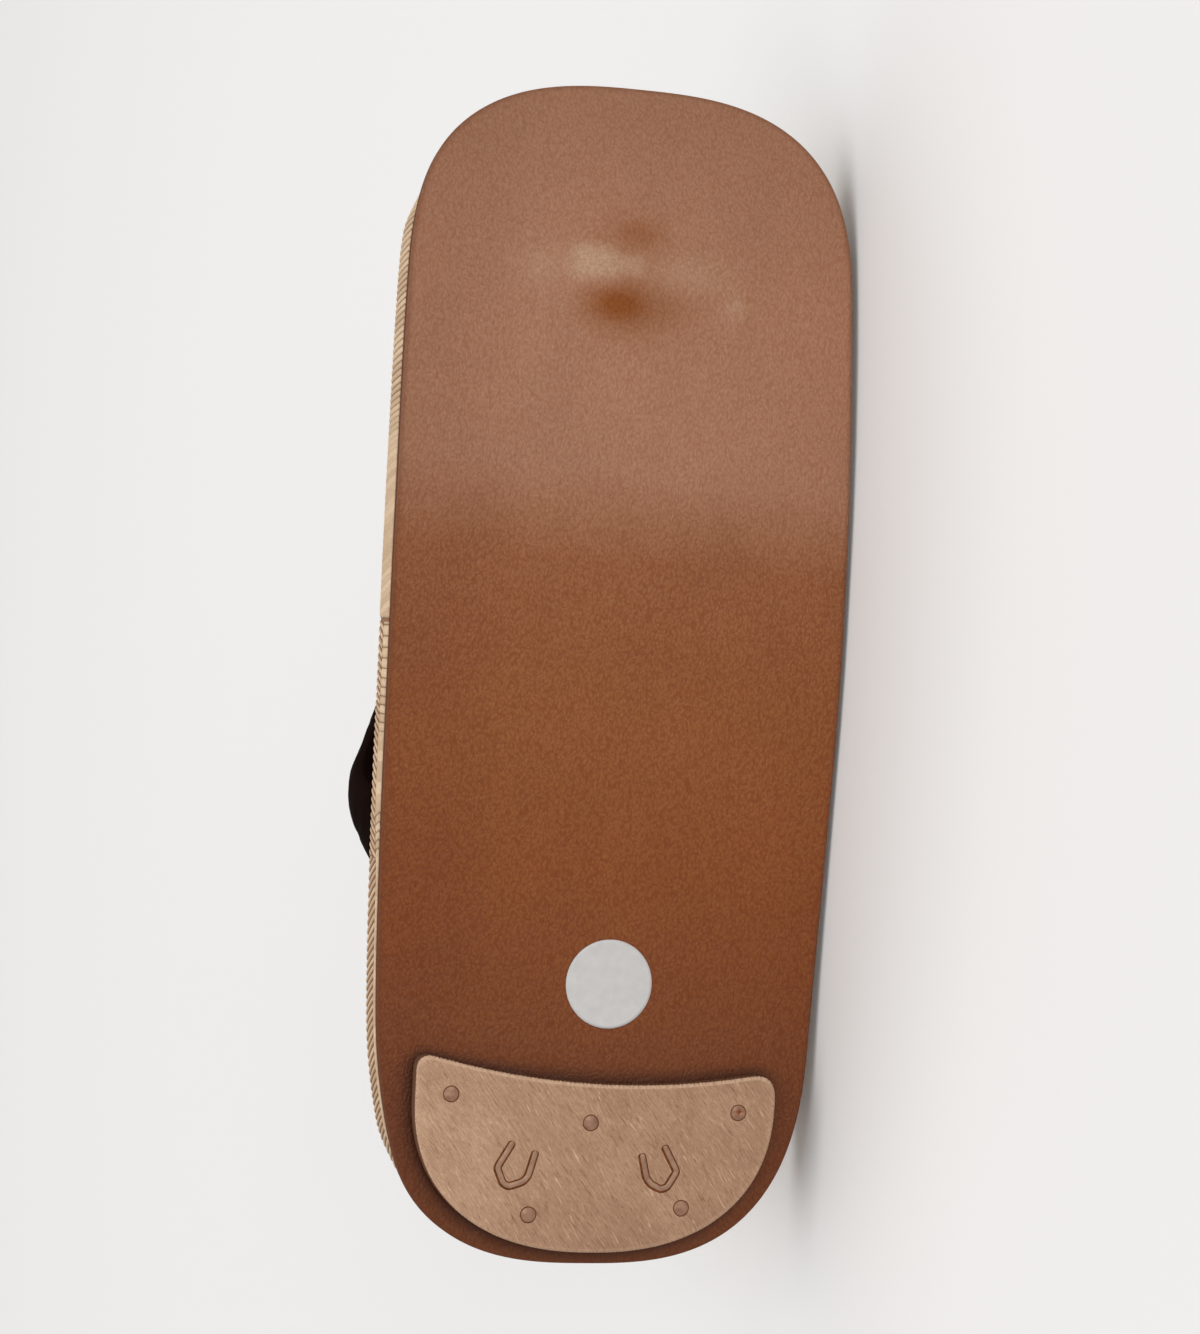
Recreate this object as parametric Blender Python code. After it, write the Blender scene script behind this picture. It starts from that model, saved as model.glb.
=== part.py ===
"""Setta sandal for the left foot, lying on its outer side.

Every piece is modelled as the sandal stands: +X towards the toe with the heel's end at x = 0, +Y towards the
outer side, +Z up from the floor at z = 0. One empty then lays them all on the side, on the sole's edge and
the strap.
"""

import math

import bmesh
import bpy
from mathutils import Vector

# Driving sizes, in metres
LENGTH = 0.258
HALF_WIDTH = 0.0513
WIDEST = 0.40  # share of the length, from the toe, where the sole is widest
TAPER = 0.27  # share of the half width lost at one length from the widest place
TOE_ROUND = 0.0460  # length over which the toe's outline rounds off
TOE_POWER = 2.8
HEEL_ROUND = 0.0500
HEEL_POWER = 2.8
TOE_SHIFT = 0.0020  # how far the tip of the toe lies towards the outer side
TOE_SHIFT_REACH = 0.071

GAP = 0.0003  # between two pieces that touch
LEATHER = 0.0025  # thickness of the outsole
MAT = 0.0084  # thickness of the woven top
LIFT = 0.0050  # height of the heel over the ball of the foot
HEEL_FLAT_END = 0.048
BALL_START = 0.149
BALL_END = 0.161
TOE_SPRING = 0.0100
LEATHER_EDGE = 0.0009  # rounding of the outsole's lower edge
MAT_EDGE = 0.0026  # rounding of the mat's upper edge
STATIONS = 44  # rows along the sole
COLUMNS = 8  # columns across the outsole

THONG_X = 0.2125  # where the thong leaves the mat
THONG_Y = -0.0045
LUMP_HEIGHT = 0.0026  # the knot's lump in the outsole
LUMP_REACH_X = 0.0085
LUMP_REACH_Y = 0.0105
LUMP_PATCH = 0.021  # the finer faces round the lump

# The lift's outline
LIFT_END = 0.0032
LIFT_HALF_WIDTH = 0.0402
LIFT_ROUND = 0.0330
LIFT_POWER = 2.3
LIFT_SHIFT = -0.0001
LIFT_FRONT = 0.0393  # the hollow front edge, at its middle
LIFT_HORN = 0.0048  # how far the front corners reach past that
LIFT_SKEW = 0.0015  # the inner corner is further forward, and the outer one further back
LIFT_CORNER = 0.0042
LIFT_EDGE = 0.0005
LIFT_STATIONS = 14

# Nails in the lift: forward from the heel's end, towards the outer side
NAILS = (
    (0.0368, -0.0327),
    (0.0311, -0.0015),
    (0.0338, 0.0318),
    (0.0112, -0.0145),
    (0.0129, 0.0197),
)
NAIL_HEAD = 0.0017  # radius
NAIL_HEAD_HEIGHT = 0.0012
NAIL_SHANK = 0.0009
NAIL_LENGTH = 0.0064
NAIL_SIDES = 20

# U-shaped plates in the lift: each one's middle, then its bent line from tip to tip, all forward of the
# heel's end and towards the outer side
STAPLES = (
    (
        (0.0213, -0.0176),
        (
            (0.0054, -0.0007),
            (-0.0002, -0.0040),
            (-0.0035, -0.0026),
            (-0.0042, -0.0013),
            (-0.0032, 0.0018),
            (-0.0020, 0.0029),
            (0.0035, 0.0044),
        ),
    ),
    (
        (0.0213, 0.0146),
        (
            (0.0034, -0.0043),
            (-0.0019, -0.0030),
            (-0.0033, -0.0018),
            (-0.0043, 0.0004),
            (-0.0038, 0.0018),
            (-0.0004, 0.0038),
            (0.0052, 0.0007),
        ),
    ),
)
STAPLE_DEPTH = 0.0034
STAPLE_WIRE = 0.0013

# Sections of one arm of the strap, from its end under the mat to the fold at the toe:
# forward, out from the middle, above the mat, width, thickness
ARM = (
    (0.0930, 0.0385, -0.0078, 0.0130, 0.0046),
    (0.0930, 0.0385, 0.0006, 0.0130, 0.0046),
    (0.0922, 0.0406, 0.0085, 0.0172, 0.0060),
    (0.0928, 0.0446, 0.0165, 0.0188, 0.0070),
    (0.0988, 0.0469, 0.0240, 0.0172, 0.0076),
    (0.1066, 0.0428, 0.0305, 0.0195, 0.0080),
    (0.1200, 0.0364, 0.0345, 0.0215, 0.0080),
    (0.1380, 0.0302, 0.0358, 0.0215, 0.0080),
    (0.1600, 0.0240, 0.0335, 0.0215, 0.0078),
    (0.1800, 0.0165, 0.0285, 0.0195, 0.0072),
    (0.1950, 0.0095, 0.0235, 0.0165, 0.0066),
    (0.2050, 0.0042, 0.0200, 0.0140, 0.0060),
    (0.2100, 0.0010, 0.0184, 0.0126, 0.0054),
)
ARM_STEPS = 3  # rings between two sections
FOOT_AXIS = 0.010  # height over the mat of the line that the arms face away from
ARM_SIDES = 14
PRESSED = 0.0014  # the outer arm bends in where it lies on the floor, and is flattened there
PRESSED_X = 0.110
PRESSED_REACH = 0.035
SHIFT_START = 0.140  # from here forward the arms lean over to the thong

# The front thong, turned about its own line: radius, height above the mat
THONG = (
    (0.0000, -0.01095),
    (0.0030, -0.01060),
    (0.0048, -0.00970),
    (0.0058, -0.00860),
    (0.0058, -0.00760),
    (0.0046, -0.00690),
    (0.0040, -0.00660),
    (0.0040, 0.00060),
    (0.0047, 0.00250),
    (0.0050, 0.00800),
    (0.0053, 0.01400),
    (0.0056, 0.01900),
    (0.0049, 0.02200),
    (0.0030, 0.02370),
    (0.0000, 0.02420),
)
THONG_LONG = 1.20  # the thong is longer fore and aft than across
THONG_ACROSS = 0.95
THONG_SIDES = 20
KNOT_SEAT = 0.0066  # radius of the hollow for the knot under the mat
KNOT_SEAT_DEPTH = 0.0022

# How the sandal lies: leaned back on the strap by this angle, and touching the floor here along its side
LEAN = math.radians(7.4)
BALANCE_X = 0.125
FLOOR_X = -0.1289
FLOOR_Y = -0.0264


def ease(t):
    """From 0 to 1 with no corner at either end."""
    t = min(max(t, 0.0), 1.0)
    return 0.5 - 0.5 * math.cos(math.pi * t)


def round_off(t, power):
    """A superellipse's half width, from 0 at its tip to 1 at t = 1 and beyond."""
    t = min(max(t, 0.0), 1.0)
    return (1 - (1 - t) ** power) ** (1 / power)


def half_width(x):
    """Half of the sole's width at x."""
    from_toe = 1 - x / LENGTH
    bowed = HALF_WIDTH * (1 - TAPER * (from_toe - WIDEST) ** 2)
    return bowed * round_off((LENGTH - x) / TOE_ROUND, TOE_POWER) * round_off(x / HEEL_ROUND, HEEL_POWER)


def middle(x):
    """The sole's centre line, which bends a little to the outer side at the toe."""
    return TOE_SHIFT * max(1 - (LENGTH - x) / TOE_SHIFT_REACH, 0.0) ** 2


def under(x):
    """Height of the outsole's lower face over the floor: heel, arch, ball and toe spring."""
    if x <= BALL_START:
        return LIFT * (1 - ease((x - HEEL_FLAT_END) / (BALL_START - HEEL_FLAT_END)))
    return TOE_SPRING * max((x - BALL_END) / (LENGTH - BALL_END), 0.0) ** 2


def tilt(x):
    """How steeply the bent sole rises towards the toe, as an angle."""
    step = 0.0001
    return math.atan((under(x + step) - under(x - step)) / (2 * step))


def over(x, y, height):
    """The place at a height over the outsole's lower face, measured square to the bent sole."""
    angle = tilt(x)
    return Vector((x - height * math.sin(angle), y, under(x) + height * math.cos(angle)))


def level(x, height):
    """The floor height at x of the surface that lies this height over the outsole's lower face."""
    along = x
    for _ in range(4):
        along = x + height * math.sin(tilt(along))
    return over(along, 0, height).z


def mat_under(x):
    return level(x, LEATHER + GAP)


def mat_top(x):
    return level(x, LEATHER + GAP + MAT)


def lump(x, y):
    """How far the knot pushes the outsole down."""
    knot_x = THONG_X + (LEATHER + MAT) * math.tan(tilt(THONG_X))
    across = ((x - knot_x) / LUMP_REACH_X) ** 2 + ((y - THONG_Y) / LUMP_REACH_Y) ** 2
    return LUMP_HEIGHT * math.exp(-across)


def stations():
    """Places along the sole, close together at its two ends, with rows on the flat spots' borders."""
    places = [LENGTH / 2 * (1 - math.cos(math.pi * k / STATIONS)) for k in range(STATIONS + 1)]
    for border in (HEEL_FLAT_END, BALL_START, BALL_END):
        nearest = min(range(len(places)), key=lambda k: abs(places[k] - border))
        places[nearest] = border
    return places


def sole_outline():
    """The outline from the heel along the outer side to the toe, and back along the inner side."""
    places = stations()
    outer = [(x, middle(x) + half_width(x)) for x in places]
    inner = [(x, middle(x) - half_width(x)) for x in places[1:-1]]
    return outer + inner[::-1]


def inset(outline, distance):
    """The same outline moved inwards. It runs clockwise seen from above."""
    moved = []
    for k, (x, y) in enumerate(outline):
        before = outline[k - 1]
        after = outline[(k + 1) % len(outline)]
        along = Vector((after[0] - before[0], after[1] - before[1])).normalized()
        moved.append((x + along.y * distance, y - along.x * distance))
    return moved


def floor():
    """The floor that the sandal lies on: its direction, and how far off it is, as the sandal stands.

    It holds one whole straight piece of the upper edge of the mat's wall, and leans back from there.
    """
    places = stations()
    edge = [over(x, middle(x) + half_width(x), LEATHER + GAP + MAT - MAT_EDGE) for x in places]
    near = max(k for k, x in enumerate(places) if x <= BALANCE_X)
    along = edge[near + 1] - edge[near]
    down = Vector((0, math.cos(LEAN), math.sin(LEAN)))
    down.x = -along.dot(down) / along.x
    down.normalize()
    return down, down.dot(edge[near])


def add_ring(mesh, outline, height):
    """One ring of vertices, all at one height over the outsole's lower face."""
    return [mesh.verts.new(over(x, y, height)) for x, y in outline]


def bridge(mesh, lower, upper):
    """Faces between two rings of equal length, pointing outwards when the lower ring is below."""
    count = len(lower)
    for k in range(count):
        n = (k + 1) % count
        mesh.faces.new((lower[n], lower[k], upper[k], upper[n]))


def fill_rows(mesh, ring, columns, facing_up):
    """Rows of faces straight across a ring that has equal places on its outer and inner sides."""
    rows = len(ring) // 2
    line = [[ring[0]]]
    for k in range(1, rows):
        outer, inner = ring[k], ring[-k]
        row = [outer]
        for c in range(1, columns):
            row.append(mesh.verts.new(outer.co.lerp(inner.co, c / columns)))
        line.append(row + [inner])
    line.append([ring[rows]])
    for near, far in zip(line, line[1:]):
        for c in range(columns):
            corners = [near[min(c, len(near) - 1)], near[min(c + 1, len(near) - 1)]]
            corners += [far[min(c + 1, len(far) - 1)], far[min(c, len(far) - 1)]]
            corners = list(dict.fromkeys(corners))
            mesh.faces.new(corners if not facing_up else corners[::-1])


def new_object(name, mesh, material, smooth=40):
    """An object from a bmesh, shaded smooth up to the angle given."""
    data = bpy.data.meshes.new(name)
    bmesh.ops.recalc_face_normals(mesh, faces=mesh.faces)
    mesh.to_mesh(data)
    mesh.free()
    data.shade_smooth()
    data.set_sharp_from_angle(angle=math.radians(smooth))
    if material:
        data.materials.append(material)
    thing = bpy.data.objects.new(name, data)
    return thing


def new_material(name, colour, roughness, metallic=0.0):
    material = bpy.data.materials.new(name)
    material.use_nodes = True
    shader = material.node_tree.nodes["Principled BSDF"]
    shader.inputs["Base Color"].default_value = (*colour, 1.0)
    shader.inputs["Roughness"].default_value = roughness
    shader.inputs["Metallic"].default_value = metallic
    return material


def cut(thing, cutter, kind="DIFFERENCE"):
    """A Boolean of one object by another, left live on the first."""
    modifier = thing.modifiers.new(cutter.name, "BOOLEAN")
    modifier.operation = kind
    modifier.solver = "EXACT"
    modifier.object = cutter
    cutter.hide_render = True
    cutter.display_type = "WIRE"


def turned(name, profile, sides, long=1.0, across=1.0):
    """A closed round solid from (radius, height) rows, lowest first, with the first and last on its axis."""
    mesh = bmesh.new()
    rings = []
    for radius, height in profile:
        if radius == 0:
            rings.append([mesh.verts.new((0, 0, height))])
            continue
        ring = []
        for k in range(sides):
            angle = -2 * math.pi * k / sides
            spot = (radius * long * math.cos(angle), radius * across * math.sin(angle), height)
            ring.append(mesh.verts.new(spot))
        rings.append(ring)
    for lower, upper in zip(rings, rings[1:]):
        for k in range(sides):
            n = (k + 1) % sides
            corners = [lower[n % len(lower)], lower[k % len(lower)]]
            corners += [upper[k % len(upper)], upper[n % len(upper)]]
            mesh.faces.new(list(dict.fromkeys(corners)))
    return new_object(name, mesh, None)


def make_outsole(material):
    """The leather sole: one bent sheet with a rounded lower edge, pushed out by the knot."""
    mesh = bmesh.new()
    outline = sole_outline()
    small = LEATHER_EDGE * (1 - math.sqrt(0.5))
    levels = ((LEATHER_EDGE, 0.0), (small, small), (0.0, LEATHER_EDGE), (0.0, LEATHER))
    rings = [add_ring(mesh, inset(outline, inward), up) for inward, up in levels]
    for below, above in zip(rings, rings[1:]):
        bridge(mesh, below, above)
    fill_rows(mesh, rings[0], COLUMNS, False)
    fill_rows(mesh, rings[-1], COLUMNS, True)
    near = [
        edge
        for edge in mesh.edges
        if all((v.co.xy - Vector((THONG_X, THONG_Y))).length < LUMP_PATCH for v in edge.verts)
    ]
    bmesh.ops.subdivide_edges(mesh, edges=near, cuts=2, use_grid_fill=True)
    for vertex in mesh.verts:
        vertex.co.z -= lump(vertex.co.x, vertex.co.y)
    return new_object("leather_outsole", mesh, material)


def make_woven_top(material):
    """The mat: the sole's outline with a wall square to it and a rounded upper edge."""
    mesh = bmesh.new()
    outline = sole_outline()
    levels = [(0.0, 0.0)]
    for turn in (0, 30, 60, 90):
        angle = math.radians(turn)
        levels.append((MAT_EDGE * (1 - math.cos(angle)), MAT - MAT_EDGE * (1 - math.sin(angle))))
    rings = [add_ring(mesh, inset(outline, inward), LEATHER + GAP + up) for inward, up in levels]
    for below, above in zip(rings, rings[1:]):
        bridge(mesh, below, above)
    fill_rows(mesh, rings[0], 1, False)
    fill_rows(mesh, rings[-1], 1, True)
    return new_object("woven_top", mesh, material)


def lift_outline():
    """The half-moon, clockwise from above: heel end, outer side, hollow front edge, inner side."""
    places = [LIFT_ROUND * (1 - math.cos(math.pi / 2 * k / LIFT_STATIONS)) for k in range(LIFT_STATIONS + 1)]
    outer = [
        (LIFT_END + d, LIFT_SHIFT + LIFT_HALF_WIDTH * round_off(d / LIFT_ROUND, LIFT_POWER)) for d in places
    ]
    inner = [(x, 2 * LIFT_SHIFT - y) for x, y in outer[1:]]
    front = []
    for k in range(LIFT_STATIONS + 1):
        t = 1 - 2 * k / LIFT_STATIONS
        front.append((LIFT_FRONT + LIFT_HORN * t * t - LIFT_SKEW * t, LIFT_SHIFT + LIFT_HALF_WIDTH * t))
    return outer + front + inner[::-1]


def make_lift(material):
    """The half-moon of sole leather, with rounded front corners."""
    flat = bmesh.new()
    face = flat.faces.new([flat.verts.new((x, y, 0)) for x, y in lift_outline()])
    corners = [v for v in face.verts if v.co.x > LIFT_FRONT and abs(v.co.y - LIFT_SHIFT) > LIFT_HALF_WIDTH - 1e-6]
    bmesh.ops.bevel(
        flat, geom=corners, offset=LIFT_CORNER, segments=5, profile=0.5, affect="VERTICES", clamp_overlap=True
    )
    face = next(iter(flat.faces))
    outline = [(loop.vert.co.x, loop.vert.co.y) for loop in face.loops]
    if face.normal.z > 0:
        outline.reverse()
    flat.free()
    mesh = bmesh.new()
    levels = ((LIFT_EDGE, 0.0), (0.0, LIFT_EDGE), (0.0, LIFT - GAP))
    rings = [[mesh.verts.new((x, y, up)) for x, y in inset(outline, inward)] for inward, up in levels]
    for below, above in zip(rings, rings[1:]):
        bridge(mesh, below, above)
    mesh.faces.new(rings[0])
    mesh.faces.new(rings[-1][::-1])
    return new_object("heel_lift", mesh, material)


def nail_profile(spare):
    """Rows of a nail that stands head down on the floor, larger by the spare all round for its seat."""
    head = NAIL_HEAD + spare
    shank = NAIL_SHANK + spare
    bottom = -spare
    return (
        (0.0, bottom),
        (head, bottom),
        (head, NAIL_HEAD_HEIGHT + spare),
        (shank, NAIL_HEAD_HEIGHT + spare),
        (shank, NAIL_LENGTH + spare),
        (0.0, NAIL_LENGTH + spare),
    )


def staple_outline(path, spare):
    """The two sides of a plate: half its thickness plus the spare on each side of its bent line."""
    half = STAPLE_WIRE / 2 + spare
    path = [Vector(spot) for spot in path]
    path[0] += (path[0] - path[1]).normalized() * spare
    path[-1] += (path[-1] - path[-2]).normalized() * spare
    left, right = [], []
    for k, here in enumerate(path):
        into = (here - path[k - 1]).normalized() if k else None
        out = (path[k + 1] - here).normalized() if k + 1 < len(path) else None
        along = ((into or out) + (out or into)).normalized()
        side = Vector((-along.y, along.x)) * half / max(along.dot(out or into), 0.5)
        left.append(here + side)
        right.append(here - side)
    return left, right


def make_staple(name, path, spare, bottom, top, material):
    """A U-shaped plate standing on edge between two heights."""
    left, right = staple_outline(path, spare)
    mesh = bmesh.new()
    rows = []
    for spots in (right, left):
        rows.append([[mesh.verts.new((p.x, p.y, z)) for p in spots] for z in (bottom, top)])
    (left_low, left_high), (right_low, right_high) = rows
    for k in range(len(left) - 1):
        mesh.faces.new((left_low[k], left_low[k + 1], right_low[k + 1], right_low[k]))
        mesh.faces.new((left_high[k], right_high[k], right_high[k + 1], left_high[k + 1]))
        mesh.faces.new((left_low[k], left_high[k], left_high[k + 1], left_low[k + 1]))
        mesh.faces.new((right_low[k], right_low[k + 1], right_high[k + 1], right_high[k]))
    for k in (0, -1):
        mesh.faces.new((left_low[k], right_low[k], right_high[k], left_high[k]))
    return new_object(name, mesh, material, 30)


def smooth_rows(rows, steps):
    """Rows between the given ones, on a curve through all of them."""
    fine = []
    last = len(rows) - 1
    for k in range(last):
        a, b, c, d = (rows[min(max(k + i, 0), last)] for i in (-1, 0, 1, 2))
        for step in range(steps):
            t = step / steps
            fine.append(
                tuple(
                    0.5 * (2 * q + (r - p) * t + (2 * p - 5 * q + 4 * r - s) * t**2 + (3 * q - p - 3 * r + s) * t**3)
                    for p, q, r, s in zip(a, b, c, d)
                )
            )
    return fine + [rows[last]]


def placed(row, side):
    """A section of an arm: its centre, width and thickness. Side is 1 on the outer side, -1 on the inner."""
    x, out, rise, width, thick = row
    if side > 0:
        near = math.exp(-(((x - PRESSED_X) / PRESSED_REACH) ** 2))
        out -= PRESSED * near * ease(rise / 0.020)
    lean_over = THONG_Y * ease((x - SHIFT_START) / (THONG_X - SHIFT_START))
    return Vector((x, side * out + lean_over, mat_top(x) + rise)), width, thick


def facing(spot):
    """Which way an arm's outer face looks: away from the foot under it."""
    foot = Vector((spot.x, 0, mat_top(spot.x) + FOOT_AXIS))
    foot.y = THONG_Y * ease((spot.x - SHIFT_START) / (THONG_X - SHIFT_START))
    return (spot - foot).normalized()


def make_arm(name, side, material):
    """One padded arm, from its end in the mat to the thong."""
    rows = [(*spot, width, thick) for spot, width, thick in (placed(row, side) for row in ARM)]
    sections = smooth_rows(rows, ARM_STEPS)
    spots = [Vector(row[:3]) for row in sections]
    down, reach = floor()
    mesh = bmesh.new()
    rings = []
    for k, (spot, row) in enumerate(zip(spots, sections)):
        along = (spots[min(k + 1, len(spots) - 1)] - spots[max(k - 1, 0)]).normalized()
        if spot.z < mat_top(spot.x):
            along = Vector((0, 0, 1))
        face = facing(spot)
        face = (face - along * face.dot(along)).normalized()
        wide = along.cross(face)
        ring = []
        for corner in range(ARM_SIDES):
            angle = 2 * math.pi * corner / ARM_SIDES
            away = wide * (row[3] / 2 * math.cos(angle)) + face * (row[4] / 2 * math.sin(angle))
            below = max(down.dot(spot + away) - reach, 0)
            ring.append(mesh.verts.new(spot + away - down * below))
        rings.append(ring)
    for below, above in zip(rings, rings[1:]):
        bridge(mesh, below, above)
    mesh.faces.new(rings[0])
    mesh.faces.new(rings[-1][::-1])
    return new_object(name, mesh, material)


def make_strap(material, cutters):
    """The two arms, joined to each other and to the front thong with its knot."""
    strap = make_arm("strap", -1, material)
    other = make_arm("outer_arm", 1, None)
    thong = turned("thong", THONG, THONG_SIDES, THONG_LONG, THONG_ACROSS)
    thong.location = (THONG_X, THONG_Y, mat_top(THONG_X))
    thong.rotation_euler = (0, -tilt(THONG_X), 0)
    for joined in (other, thong):
        cutters.objects.link(joined)
        cut(strap, joined, "UNION")
    return strap


def slot_cutter(name, side):
    """A seat through the mat for one end of the strap, of its section plus the gap."""
    spot, width, thick = placed(ARM[0], side)
    mesh = bmesh.new()
    face = facing(spot)
    face = Vector((face.x, face.y, 0)).normalized()
    wide = Vector((0, 0, 1)).cross(face)
    rings = []
    for z in (mat_under(spot.x) - 0.003, mat_top(spot.x) + 0.003):
        ring = []
        for k in range(ARM_SIDES):
            angle = -2 * math.pi * k / ARM_SIDES
            away = wide * ((width / 2 + GAP) * math.cos(angle)) + face * ((thick / 2 + GAP) * math.sin(angle))
            ring.append(mesh.verts.new(Vector((spot.x, spot.y, z)) + away))
        rings.append(ring)
    bridge(mesh, *rings)
    mesh.faces.new(rings[0])
    mesh.faces.new(rings[1][::-1])
    return new_object(name, mesh, None)


def build():
    for thing in list(bpy.data.objects):
        bpy.data.objects.remove(thing, do_unlink=True)
    pieces = bpy.data.collections.new("setta_sandal")
    cutters = bpy.data.collections.new("cutters")
    for group in (pieces, cutters):
        bpy.context.scene.collection.children.link(group)

    brown = new_material("brown_leather", (0.22, 0.082, 0.034), 0.42)
    raw = new_material("raw_leather", (0.43, 0.27, 0.18), 0.70)
    rush = new_material("rush", (0.56, 0.40, 0.26), 0.75)
    copper = new_material("nail_metal", (0.36, 0.20, 0.13), 0.45, 0.6)
    iron = new_material("plate_iron", (0.33, 0.22, 0.15), 0.45, 0.6)
    black = new_material("black_strap", (0.012, 0.010, 0.009), 0.75)

    outsole = make_outsole(brown)
    mat = make_woven_top(rush)
    lift = make_lift(raw)
    strap = make_strap(black, cutters)
    made = [outsole, mat, lift, strap]

    seat = turned("nail_seat", nail_profile(GAP), NAIL_SIDES)
    for number, (x, y) in enumerate(NAILS, 1):
        nail = turned(f"heel_nail_{number}", nail_profile(0.0), NAIL_SIDES)
        nail.data.materials.append(copper)
        nail.location = (x, y, 0)
        made.append(nail)
        hole = bpy.data.objects.new(f"nail_seat_{number}", seat.data)
        hole.location = nail.location
        cutters.objects.link(hole)
        cut(lift, hole)
        cut(outsole, hole)
    bpy.data.objects.remove(seat)

    for number, ((x, y), path) in enumerate(STAPLES, 1):
        plate = make_staple(f"heel_staple_{number}", path, 0.0, 0.0, STAPLE_DEPTH, iron)
        groove = make_staple(f"staple_groove_{number}", path, GAP, -GAP, STAPLE_DEPTH + GAP, None)
        for thing in (plate, groove):
            thing.location = (x, y, 0)
        made.append(plate)
        cutters.objects.link(groove)
        cut(lift, groove)

    for name, side in (("inner_slot", -1), ("outer_slot", 1)):
        slot = slot_cutter(name, side)
        cutters.objects.link(slot)
        cut(mat, slot)
    neck = min(radius for radius, height in THONG if radius > 0.0039) + GAP
    hole = turned("thong_hole", ((0, -0.02), (neck, -0.02), (neck, 0.01), (0, 0.01)), THONG_SIDES)
    seat_top = KNOT_SEAT_DEPTH - MAT
    hollow = turned(
        "knot_hollow",
        ((0, -0.02), (KNOT_SEAT, -0.02), (KNOT_SEAT, seat_top), (0, seat_top)),
        THONG_SIDES,
    )
    for cutter in (hole, hollow):
        cutter.location = (THONG_X, THONG_Y, mat_top(THONG_X))
        cutter.rotation_euler = (0, -tilt(THONG_X), 0)
        cutter.scale = (THONG_LONG, THONG_ACROSS, 1)
        cutters.objects.link(cutter)
        cut(mat, cutter)

    lying = bpy.data.objects.new("lying", None)
    bpy.context.scene.collection.objects.link(lying)
    for thing in made:
        pieces.objects.link(thing)
    for thing in made + list(cutters.objects):
        thing.parent = lying
    down, reach = floor()
    lying.rotation_euler = (-math.pi / 2 - LEAN, math.asin(down.x), 0)
    lying.location = (FLOOR_X, FLOOR_Y, reach)


build()
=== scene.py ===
import math

import bmesh
import bpy
import numpy as np
from mathutils import Euler, Matrix, Vector


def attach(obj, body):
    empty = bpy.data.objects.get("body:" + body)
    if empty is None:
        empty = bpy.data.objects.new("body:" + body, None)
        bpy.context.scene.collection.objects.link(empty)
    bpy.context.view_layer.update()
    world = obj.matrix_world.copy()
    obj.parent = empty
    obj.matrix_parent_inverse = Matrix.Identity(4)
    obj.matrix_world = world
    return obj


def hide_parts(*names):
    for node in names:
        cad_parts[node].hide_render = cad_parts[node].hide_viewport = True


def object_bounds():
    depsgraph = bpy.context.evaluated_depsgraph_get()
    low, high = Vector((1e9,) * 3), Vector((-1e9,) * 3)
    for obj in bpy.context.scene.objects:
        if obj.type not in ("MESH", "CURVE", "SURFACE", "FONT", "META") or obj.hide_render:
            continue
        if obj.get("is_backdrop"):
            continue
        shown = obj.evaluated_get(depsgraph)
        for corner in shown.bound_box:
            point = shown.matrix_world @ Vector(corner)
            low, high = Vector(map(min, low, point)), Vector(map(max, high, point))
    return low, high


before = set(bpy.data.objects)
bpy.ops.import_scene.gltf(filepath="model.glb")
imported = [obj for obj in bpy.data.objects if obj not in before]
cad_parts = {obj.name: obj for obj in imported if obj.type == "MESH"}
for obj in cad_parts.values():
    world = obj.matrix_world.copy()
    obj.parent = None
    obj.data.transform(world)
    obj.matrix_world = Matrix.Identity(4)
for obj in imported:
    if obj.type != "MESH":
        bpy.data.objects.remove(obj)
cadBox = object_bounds()

# everything is worked out as the sandal stands: +X to the toe, +Y to the outer side, +Z up, in metres;
# lay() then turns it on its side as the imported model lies
lying = {
    "turn": (-97.4, -0.33352, 0.0),
    "place": (-0.1289, -0.0264, 0.051148),
    "clearance": 0.0001,  # what would dip under the floor is pressed up to this height
}
layTurn = np.array(Euler([math.radians(a) for a in lying["turn"]]).to_matrix())

sole = {
    "length": 0.258,
    "halfWidth": 0.0513,
    "widest": 0.40,  # share of the length, from the toe
    "taper": 0.27,
    "toeRound": 0.0460,
    "toePower": 2.8,
    "heelRound": 0.0500,
    "heelPower": 2.8,
    "toeShift": 0.0020,
    "toeShiftReach": 0.071,
    "innerTrim": 0.0005,  # how much slimmer the worn inner side is
    "trimEnds": (0.008, 0.02, 0.225, 0.02),  # where that starts and over what length, and so its end
    "heelTrim": (0.0008, 0.032, 0.013),  # more of it near the heel: depth, middle, reach
    "lift": 0.0050,
    "heelFlatEnd": 0.048,
    "ballStart": 0.149,
    "ballEnd": 0.161,
    "toeSpring": 0.0100,
    "leather": 0.0025,
    "gap": 0.0003,
    "mat": 0.0084,
    "spine": (0.052, 0.206),  # the line down the middle that rings of the outline shrink to
}
# heights of the mat's two faces over the outsole's lower face
matLow = sole["leather"] + sole["gap"]
matHigh = matLow + sole["mat"]


def lay(points):
    # a turn and a move of all points at once
    return np.asarray(points) @ layTurn.T + np.array(lying["place"])


def ease(t):
    # half a cosine wave from 0 to 1
    return 0.5 - 0.5 * np.cos(np.pi * np.clip(t, 0, 1))


def stepped(x, low, more, start, length):
    # a number that eases up by some more, from a start over a length
    return low + more * ease((x - start) / length)


def within(x, start, startLength, end, endLength):
    # 1 from a start to an end, eased in and out over two lengths
    return ease((x - start) / startLength) * (1 - ease((x - end) / endLength))


def bell(t):
    # a soft bump, 1 in the middle and fading to nothing either way
    return np.exp(-(t**2))


def unit(rows):
    # each row made one long
    return rows / np.linalg.norm(rows, axis=1)[:, None]


def roundOff(t, power):
    # a superellipse's half width from its tip
    return (1 - (1 - np.clip(t, 0, 1)) ** power) ** (1 / power)


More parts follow.
